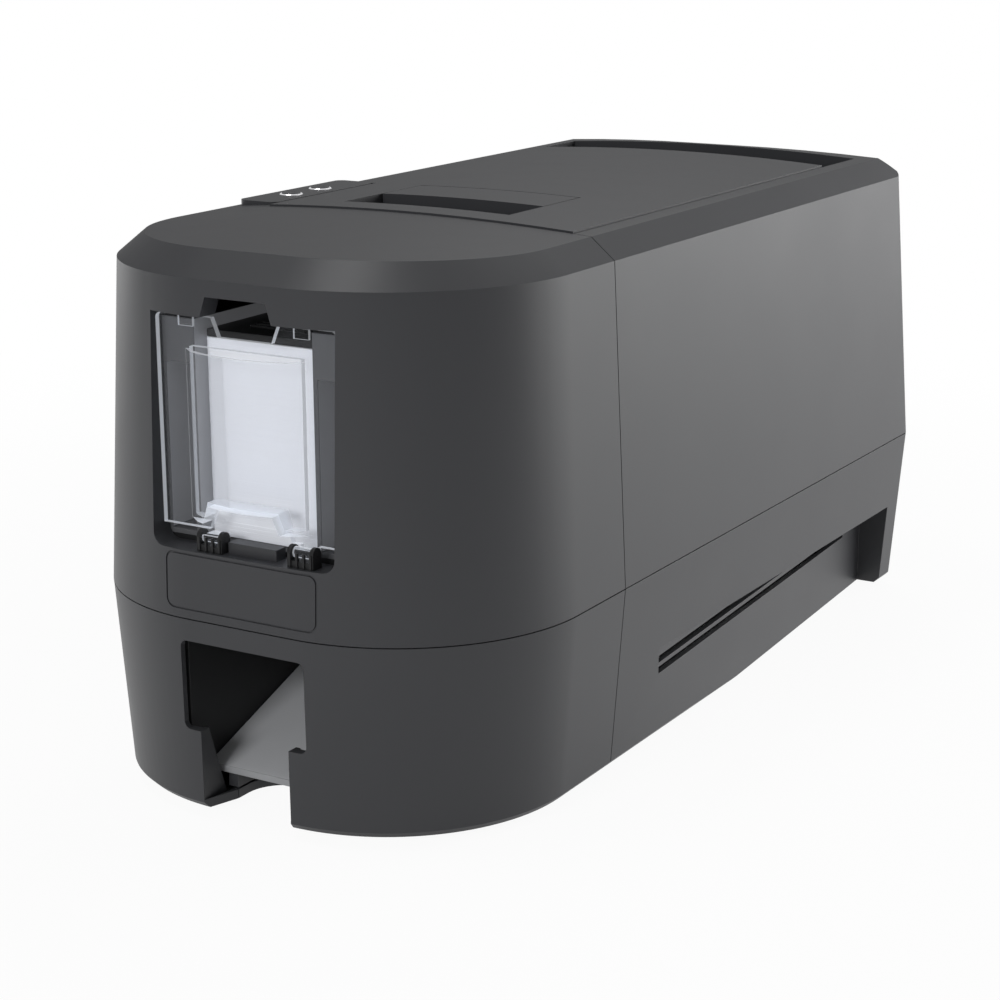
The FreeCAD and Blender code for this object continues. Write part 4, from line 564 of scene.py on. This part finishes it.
def turned(mesh_maker, profile, centre, axis, start, steps):
    """Spins a profile of (radius, height) points, in mm, round an axis through a centre."""
    axis = Vector(axis).normalized()
    out = Vector(start).normalized()
    verts = [mesh_maker.verts.new(Vector(centre) + out * radius * MM + axis * height * MM)
             for radius, height in profile]
    edges = [mesh_maker.edges.new(pair) for pair in zip(verts, verts[1:])]
    bmesh.ops.spin(mesh_maker, geom=verts + edges, cent=Vector(centre), axis=axis,
                   dvec=(0, 0, 0), angle=math.tau, steps=steps, use_merge=True,
                   use_duplicate=False)
    bmesh.ops.remove_doubles(mesh_maker, verts=mesh_maker.verts, dist=SEAM_DISTANCE)
    bmesh.ops.recalc_face_normals(mesh_maker, faces=mesh_maker.faces)


def edges_at(verts):
    """The edges at some vertices, each once and in the same order on every run."""
    return list(dict.fromkeys(edge for vert in verts for edge in vert.link_edges))


def cuboid(mesh_maker, size, centre):
    """An upright cuboid's new vertices; size and centre are in metres."""
    made = bmesh.ops.create_cube(mesh_maker, size=1.0)["verts"]
    bmesh.ops.scale(mesh_maker, vec=size, verts=made)
    bmesh.ops.translate(mesh_maker, vec=centre, verts=made)
    return made


def block(mesh_maker, low, high, radius):
    """A block with rounded edges between two corners, in millimetres."""
    low, high = Vector(low) * MM, Vector(high) * MM
    made = cuboid(mesh_maker, high - low, (low + high) / 2)
    bevel(mesh_maker, edges_at(made), radius * MM)


def screw(mesh_maker, centre, axis, start, radius):
    """A pan head: a domed disc, and two black bars sunk into its crown as painted shade for a
    cross recess.
    """
    turned(mesh_maker, [(out * radius, up * radius) for out, up in PAN_HEAD], centre, axis,
           start, SCREW_STEPS)
    centre, axis, out = Vector(centre), Vector(axis), Vector(start)
    side = axis.cross(out)
    length, width, depth, height = (share * radius * MM for share in RECESS_BAR)
    for along, over in ((out, side), (side, out)):
        made = bmesh.ops.create_cube(mesh_maker, size=1.0)["verts"]
        turn = Matrix((along, over, axis)).transposed().to_4x4()
        bmesh.ops.scale(mesh_maker, vec=(length, width, depth), verts=made)
        bmesh.ops.transform(mesh_maker, verts=made,
                            matrix=Matrix.Translation(centre + axis * height) @ turn)
        # The bars take black, painted shade in the cross recess
        for face in {face for vert in made for face in vert.link_faces}:
            face.material_index = 1


# Operators, in the order in which main calls them
class PRINTER_OT_finishes(bpy.types.Operator):
    """Make every finish and give each CAD node the finish of its slot"""
    bl_idname = "printer.finishes"
    bl_label = "Finishes"

    def execute(self, context):
        make_finishes(context.scene.printer_finish)
        for node, item in NODES.items():
            item.data.materials.clear()
            item.data.materials.append(finish_of(node))
            smooth_by_angle(item, SMOOTH_PLAIN)
        NODES["door_pins"].data.materials[0] = FINISHES["black_plastic"]
        return {"FINISHED"}


class PRINTER_OT_covers(bpy.types.Operator):
    """Round the moulded edges of the covers, the lid and the latch flap"""
    bl_idname = "printer.covers"
    bl_label = "Covers"

    def execute(self, context):
        radius = context.scene.printer_detail.edge_radius
        for node, name in COVERS:
            change = flare_notch if node == "front_lower_cover" else None
            softened_piece(node, name, radius, change)
        return {"FINISHED"}


class PRINTER_OT_hopper(bpy.types.Operator):
    """Round the card hopper's parts and rib the door's hinge clips"""
    bl_idname = "printer.hopper"
    bl_label = "Card hopper"

    def execute(self, context):
        self.housing()
        softened_piece("hopper_floor", "card_hopper_floor", FINE_RADIUS)
        softened_piece("output_liner", "output_channel", FINE_RADIUS)
        self.clips()
        return {"FINISHED"}

    def housing(self):
        """The housing, black on its rim as painted shade, and lighter and faintly glowing on the
        walls that face the window as painted light.
        """
        low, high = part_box("hopper_housing")
        rim = high.z - 2 * MM
        window = low.y + 1.5 * MM
        copy = merged_copy("hopper_housing")
        soften(copy, PART_RADIUS)
        for face in copy.faces:
            middle = face.calc_center_median()
            # Upward faces at the top rim are black, painted shade over the cards
            if face.normal.z > 0.5 and middle.z > rim:
                face.material_index = 1
            # Walls that face the window take the lighter, glowing finish, painted light
            elif abs(face.normal.z) < ALONG and middle.y > window:
                face.material_index = 2
        piece = add_piece("card_hopper", copy, "root",
                          [FINISHES["housing_plastic"], FINISHES["black_plastic"],
                           FINISHES["hopper_back"]], ("hopper_housing",))
        smooth_by_angle(piece, SMOOTH_ROUNDED)

    def clips(self):
        """Both hinge clips with ribs on their fronts; the measures are in millimetres."""
        low, high = (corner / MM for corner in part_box("door_clips"))
        copy = merged_copy("door_clips")
        soften(copy, CLIP_RADIUS)
        for start in CLIP_RIB_STARTS:
            for index in range(CLIP_RIBS):
                x = start + index * CLIP_RIB_PITCH
                block(copy, (x, low.y - 0.7, low.z + 0.2),
                      (x + CLIP_RIB_WIDTH, low.y + 0.6, high.z - 2.4), 0.25)
        piece = add_piece("door_hinge_clips", copy, "root",
                          [FINISHES["black_plastic"]], ("door_clips",))
        smooth_by_angle(piece, SMOOTH_ROUNDED)


class PRINTER_OT_cards(bpy.types.Operator):
    """Stack the blank cards one by one in the hopper"""
    bl_idname = "printer.cards"
    bl_label = "Cards"

    def execute(self, context):
        low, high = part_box("card_stack")
        thickness = context.scene.printer_detail.card_thickness
        count = round((high.z - low.z) / thickness)
        pitch = (high.z - low.z) / count
        size = (high.x - low.x - CARD_SLACK * 2, high.y - low.y - CARD_SLACK * 2,
                pitch * CARD_FILL)
        chance = random.Random(CARD_SEED)
        stack = bmesh.new()
        for index in range(count):
            centre = Vector(((low.x + high.x) / 2 + chance.uniform(-CARD_SLACK, CARD_SLACK),
                             (low.y + high.y) / 2 + chance.uniform(-CARD_SLACK, CARD_SLACK),
                             low.z + pitch * (index + 0.5)))
            upright = [edge for edge in edges_at(cuboid(stack, size, centre))
                       if abs(edge.verts[0].co.z - edge.verts[1].co.z) > pitch / 2]
            bevel(stack, upright, CARD_CORNER, segments=3)
        piece = add_piece("blank_cards", stack, "root", [FINISHES["card_white"]],
                          ("card_stack",))
        smooth_by_angle(piece, SMOOTH_CARD)
        self.weight(low / MM, high / MM)
        return {"FINISHED"}

    def weight(self, low, high):
        """The dark plate that lies on the stack, with finger ridges across it; in millimetres. A
        card weight, whose black also paints the shade over the stack's top.
        """
        plate = bmesh.new()
        block(plate, (low.x + 0.8, low.y + 0.8, high.z + 0.02),
              (high.x - 0.8, high.y - 1.5, high.z + 3.2), 0.6)
        for y in (low.y + 12, low.y + 16, low.y + 20):
            block(plate, (low.x + 14, y - 0.8, high.z + 3.0), (high.x - 14, y + 0.8, high.z + 4.2),
                  0.5)
        piece = add_piece("card_weight", plate, "root",
                          [FINISHES["black_plastic"]])
        smooth_by_angle(piece, SMOOTH_TURNED)


class PRINTER_OT_door(bpy.types.Operator):
    """Make the clear hopper door; its edges take a whiter, glowing finish as a painted highlight
    """
    bl_idname = "printer.door"
    bl_label = "Hopper door"

    def execute(self, context):
        copy = merged_copy("hopper_door")
        rounded = soften(copy, context.scene.printer_detail.door_edge_radius)
        # The rounded edges and the sides of the door take the painted-highlight finish
        edges = [face for face in copy.faces if abs(face.normal.y) < ALONG]
        for face in list(rounded) + edges:
            face.material_index = 1
        piece = add_piece("clear_hopper_door", copy, "hopper_door",
                          [FINISHES["clear_plastic"], FINISHES["clear_edge"]], ("hopper_door",))
        smooth_by_angle(piece, SMOOTH_PLAIN)
        return {"FINISHED"}


class PRINTER_OT_tray(bpy.types.Operator):
    """Make the output tray, grey on top, charcoal on the apron under it, and a darker grey of
    painted shade on its front faces
    """
    bl_idname = "printer.tray"
    bl_label = "Output tray"

    def execute(self, context):
        copy = merged_copy("output_tray")
        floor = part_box("output_tray")[0].z
        self.widen_apron(copy, floor)
        soften(copy, PART_RADIUS)
        sheet_foot, front_foot = floor + SHEET_FOOT * MM, floor + SHEET_FRONT_FOOT * MM
        for face in copy.faces:
            height = face.calc_center_median().z
            # Faces that look forward take the darker grey, painted shade
            if face.normal.y < -0.6 and height > front_foot:
                face.material_index = 2
            elif face.normal.z < 0.35 or (height < sheet_foot and face.normal.z < 0.6):
                face.material_index = 1
        piece = add_piece("card_output_tray", copy, "root",
                          [FINISHES["tray_grey"], FINISHES["charcoal_plastic"],
                           FINISHES["tray_edge"]], ("output_tray",))
        smooth_by_angle(piece, SMOOTH_ROUNDED)
        return {"FINISHED"}

    def widen_apron(self, copy, floor):
        """Moves the apron's front ends out to the lips."""
        inner, outer = APRON_END
        for vert in copy.verts:
            at_end = inner * MM < abs(vert.co.x) < outer * MM and vert.co.y < APRON_FRONT * MM
            if at_end and vert.co.z < floor + APRON_TOP * MM:
                vert.co.x = math.copysign(APRON_WIDE_END * MM, vert.co.x)


class PRINTER_OT_buttons(bpy.types.Operator):
    """Turn the dished buttons and their rings, which glow as a painted highlight"""
    bl_idname = "printer.buttons"
    bl_label = "Buttons"

    def execute(self, context):
        up, out = (0, 0, 1), (1, 0, 0)
        rings = bmesh.new()
        ring_low, ring_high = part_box("button_rings")
        ring_foot, ring_top = ring_low.z / MM, ring_high.z / MM
        outer = (ring_high.x - ring_low.x) / 2 / MM
        for node in ("power_button", "user_button"):
            low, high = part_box(node)
            centre = Vector(((low.x + high.x) / 2, (low.y + high.y) / 2, 0))
            foot, top = low.z / MM, high.z / MM
            flange = (high.x - low.x) / 2 / MM
            radius = flange - 0.8
            stem = flange * 0.4
            flange_foot, flange_top = top - 5.2, top - 4.0
            cap = bmesh.new()
            turned(cap, [(0, top - 0.45), (radius * 0.55, top - 0.3), (radius * 0.82, top - 0.02),
                         (radius * 0.93, top - 0.06), (radius, top - 0.35), (radius, flange_top),
                         (flange, flange_top), (flange, flange_foot), (stem, flange_foot),
                         (stem, foot), (0, foot)], centre, up, out, BUTTON_STEPS)
            piece = add_piece(node.replace("_", "_key_") + "_cap", cap, node,
                              [FINISHES["button_plastic"]], (node,))
            smooth_by_angle(piece, SMOOTH_CAP)
            inner = radius + 0.1
            turned(rings, [(inner, ring_foot), (inner, ring_top - 0.3), (inner + 0.25, ring_top),
                           (outer - 0.35, ring_top), (outer, ring_top - 0.35),
                           (outer, ring_foot), (inner, ring_foot)],
                   centre, up, out, BUTTON_STEPS)
        piece = add_piece("bright_button_rings", rings, "root",
                          [FINISHES["ring_metal"]], ("button_rings",))
        smooth_by_angle(piece, SMOOTH_TURNED)
        return {"FINISHED"}


class PRINTER_OT_works(bpy.types.Operator):
    """Round the works' edges and fit the screws, the capacitors and the socket contacts"""
    bl_idname = "printer.works"
    bl_label = "Works"

    def execute(self, context):
        for node, name in WORKS:
            softened_piece(node, name, FINE_RADIUS)
        for node in ROLLERS:
            softened_piece(node, node + "_rounded", PART_RADIUS)
        self.screws()
        self.capacitors()
        self.contacts()
        return {"FINISHED"}

    def screws(self):
        # The second finish, black, is the recess bars' painted shade
        steel = [FINISHES["shaft_steel"], FINISHES["black_plastic"]]
        screws = bmesh.new()
        upper = (TIE_SCREW_Y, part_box("rear_cross_tie")[1].z / MM - TIE_SCREW_DROP)
        for side, outer in ((-1, abs(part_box("side_frame_left")[0].x)),
                            (1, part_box("side_frame_right")[1].x)):
            for y, z in (*FRAME_SCREWS, upper):
                screw(screws, (side * outer, y * MM, z * MM), (side, 0, 0), (0, 1, 0),
                      FRAME_SCREW_RADIUS)
        add_piece("frame_screws", screws, "root", steel)
        bottom = bmesh.new()
        plate_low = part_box("base_plate")[0].z
        for x, y in BASE_SCREWS:
            screw(bottom, (x * MM, y * MM, plate_low), (0, 0, -1), (1, 0, 0), BASE_SCREW_RADIUS)
        add_piece("base_screws", bottom, "root", steel)

    def capacitors(self):
        """Cans that stand out from the board, each with a crimp near its foot."""
        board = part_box("circuit_board")[0].x + 0.02 * MM
        cans = bmesh.new()
        for y, z, radius, height in CAPACITORS:
            turned(cans, [(0, height), (radius * 0.8, height), (radius * 0.95, height - 0.2),
                          (radius, height - 0.7), (radius, 1.4), (radius * 0.9, 1.0),
                          (radius, 0.6), (radius, 0), (0, 0)],
                   (board, y * MM, z * MM), (-1, 0, 0), (0, 1, 0), CAN_STEPS)
        piece = add_piece("board_capacitors", cans, "root",
                          [FINISHES["port_metal"]])
        smooth_by_angle(piece, SMOOTH_TURNED)

    def contacts(self):
        """Eight springs in the network socket and two blades in the USB socket; in millimetres."""
        pins = bmesh.new()
        radius = 0.08
        low, high = (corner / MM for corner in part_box("network_port"))
        middle = (low.x + high.x) / 2
        for index in range(8):
            x = middle + (index - 3.5) * 1.02
            block(pins, (x - 0.2, high.y - 7.5, high.z - 3.4),
                  (x + 0.2, high.y - 1.6, high.z - 3.0), radius)
        low, high = (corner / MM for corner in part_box("usb_port"))
        middle, height = (low.x + high.x) / 2, (low.z + high.z) / 2
        for x in (middle - 1.2, middle + 1.2):
            block(pins, (x - 0.4, high.y - 7.0, height + 1.62),
                  (x + 0.4, high.y - 1.4, height + 1.9), radius)
        # The contacts take the glowing ring finish, a painted highlight
        add_piece("socket_contacts", pins, "root", [FINISHES["ring_metal"]])


class PRINTER_OT_stage(bpy.types.Operator):
    """Set the floor, the soft studio light and the camera"""
    bl_idname = "printer.stage"
    bl_label = "Stage"

    def execute(self, context):
        scene = context.scene
        scene.view_settings.view_transform = "Standard"
        self.floor(scene.printer_stage)
        self.sky(scene)
        for name, place, size, power in LAMPS:
            self.lamp(scene, name, place, size, power)
        self.camera(scene)
        return {"FINISHED"}

    def floor(self, settings):
        """A matte floor that the camera sees as a white glow, a little dimmer near the printer."""
        material, tree = start_finish("studio_floor")
        place = tree.place()
        far = tree.node("VectorMath", {"operation": "LENGTH"}, {0: place}, "Value")
        across = tree.node("SeparateXYZ", inputs={"Vector": place}, output="X")
        along = tree.node("SeparateXYZ", inputs={"Vector": place}, output="Y")
        behind = tree.ramp(along - across * 0.6, low=-0.35, high=-0.05)
        seen = (tree.ray("Is Camera Ray") + tree.ray("Is Glossy Ray") * behind
                + tree.ray("Is Transmission Ray")).clamped()
        fade = tree.ramp(far, low=0.30, high=0.85, bottom=0.94)
        matte = tree.node("BsdfDiffuse", inputs={"Color": (0.86, 0.86, 0.86, 1)})
        glow = tree.node("Emission", inputs={"Color": WHITE, "Strength": 1.0})
        close_finish(tree.node("MixShader", inputs={0: seen * fade, 1: matte, 2: glow}))
        disc = bmesh.new()
        bmesh.ops.create_circle(disc, cap_ends=True, segments=64, radius=settings.floor_reach)
        floor = add_object("studio_floor", disc, [material])
        floor.location.z = -0.05 * MM

    def sky(self, scene):
        """White to the camera, and a weak light from all round to everything else."""
        world = bpy.data.worlds.new("studio")
        scene.world = world
        world.use_nodes = True
        world.node_tree.nodes.clear()
        tree = Signal(world.node_tree)
        seen = (tree.ray("Is Camera Ray") + tree.ray("Is Transmission Ray")).clamped()
        fill = scene.printer_stage.fill_strength
        strength = seen * (1 - fill) + fill
        glow = tree.node("Background", inputs={"Color": WHITE, "Strength": strength})
        tree.node("OutputWorld", inputs={"Surface": glow})

    def lamp(self, scene, name, place, size, power):
        light = bpy.data.lights.new(name, "AREA")
        light.shape = "RECTANGLE"
        light.size, light.size_y = size
        light.energy = power
        lamp = bpy.data.objects.new(name, light)
        lamp.location = place
        lamp.rotation_euler = (LAMP_TARGET - Vector(place)).to_track_quat("-Z", "Y").to_euler()
        lamp.visible_glossy = name != UNMIRRORED_LAMP
        scene.collection.objects.link(lamp)

    def camera(self, scene):
        settings = scene.printer_stage
        lens = bpy.data.cameras.new("studio_camera")
        lens.lens = settings.camera_lens
        lens.sensor_width = 36.0
        lens.shift_x, lens.shift_y = settings.camera_shift
        lens.clip_start = 0.01
        camera = bpy.data.objects.new("studio_camera", lens)
        camera.location = settings.camera_place
        camera.rotation_euler = (math.pi / 2 - settings.camera_pitch, 0, settings.camera_yaw)
        scene.collection.objects.link(camera)
        scene.camera = camera


class PRINTER_PT_panel(bpy.types.Panel):
    """Lists the settings and the steps that build the card printer"""
    bl_idname = "PRINTER_PT_panel"
    bl_label = "Card printer"
    bl_space_type = "VIEW_3D"
    bl_region_type = "UI"
    bl_category = "Card printer"

    def draw(self, context):
        for group in ("printer_finish", "printer_detail", "printer_stage"):
            settings = getattr(context.scene, group)
            for key in settings.bl_rna.properties.keys():
                if key not in ("rna_type", "name"):
                    self.layout.prop(settings, key)
        for step in STEPS:
            self.layout.operator(step.bl_idname)


STEPS = (PRINTER_OT_finishes, PRINTER_OT_covers, PRINTER_OT_hopper, PRINTER_OT_cards,
         PRINTER_OT_door, PRINTER_OT_tray, PRINTER_OT_buttons, PRINTER_OT_works,
         PRINTER_OT_stage)
CLASSES = (FinishSettings, DetailSettings, StageSettings, *STEPS, PRINTER_PT_panel)


def register():
    for item in CLASSES:
        bpy.utils.register_class(item)
    bpy.types.Scene.printer_finish = bpy.props.PointerProperty(type=FinishSettings)
    bpy.types.Scene.printer_detail = bpy.props.PointerProperty(type=DetailSettings)
    bpy.types.Scene.printer_stage = bpy.props.PointerProperty(type=StageSettings)


def unregister():
    del bpy.types.Scene.printer_stage
    del bpy.types.Scene.printer_detail
    del bpy.types.Scene.printer_finish
    for item in reversed(CLASSES):
        bpy.utils.unregister_class(item)


def main():
    register()
    for step in STEPS:
        group, action = step.bl_idname.split(".")
        getattr(getattr(bpy.ops, group), action)()


if __name__ == "__main__":
    main()
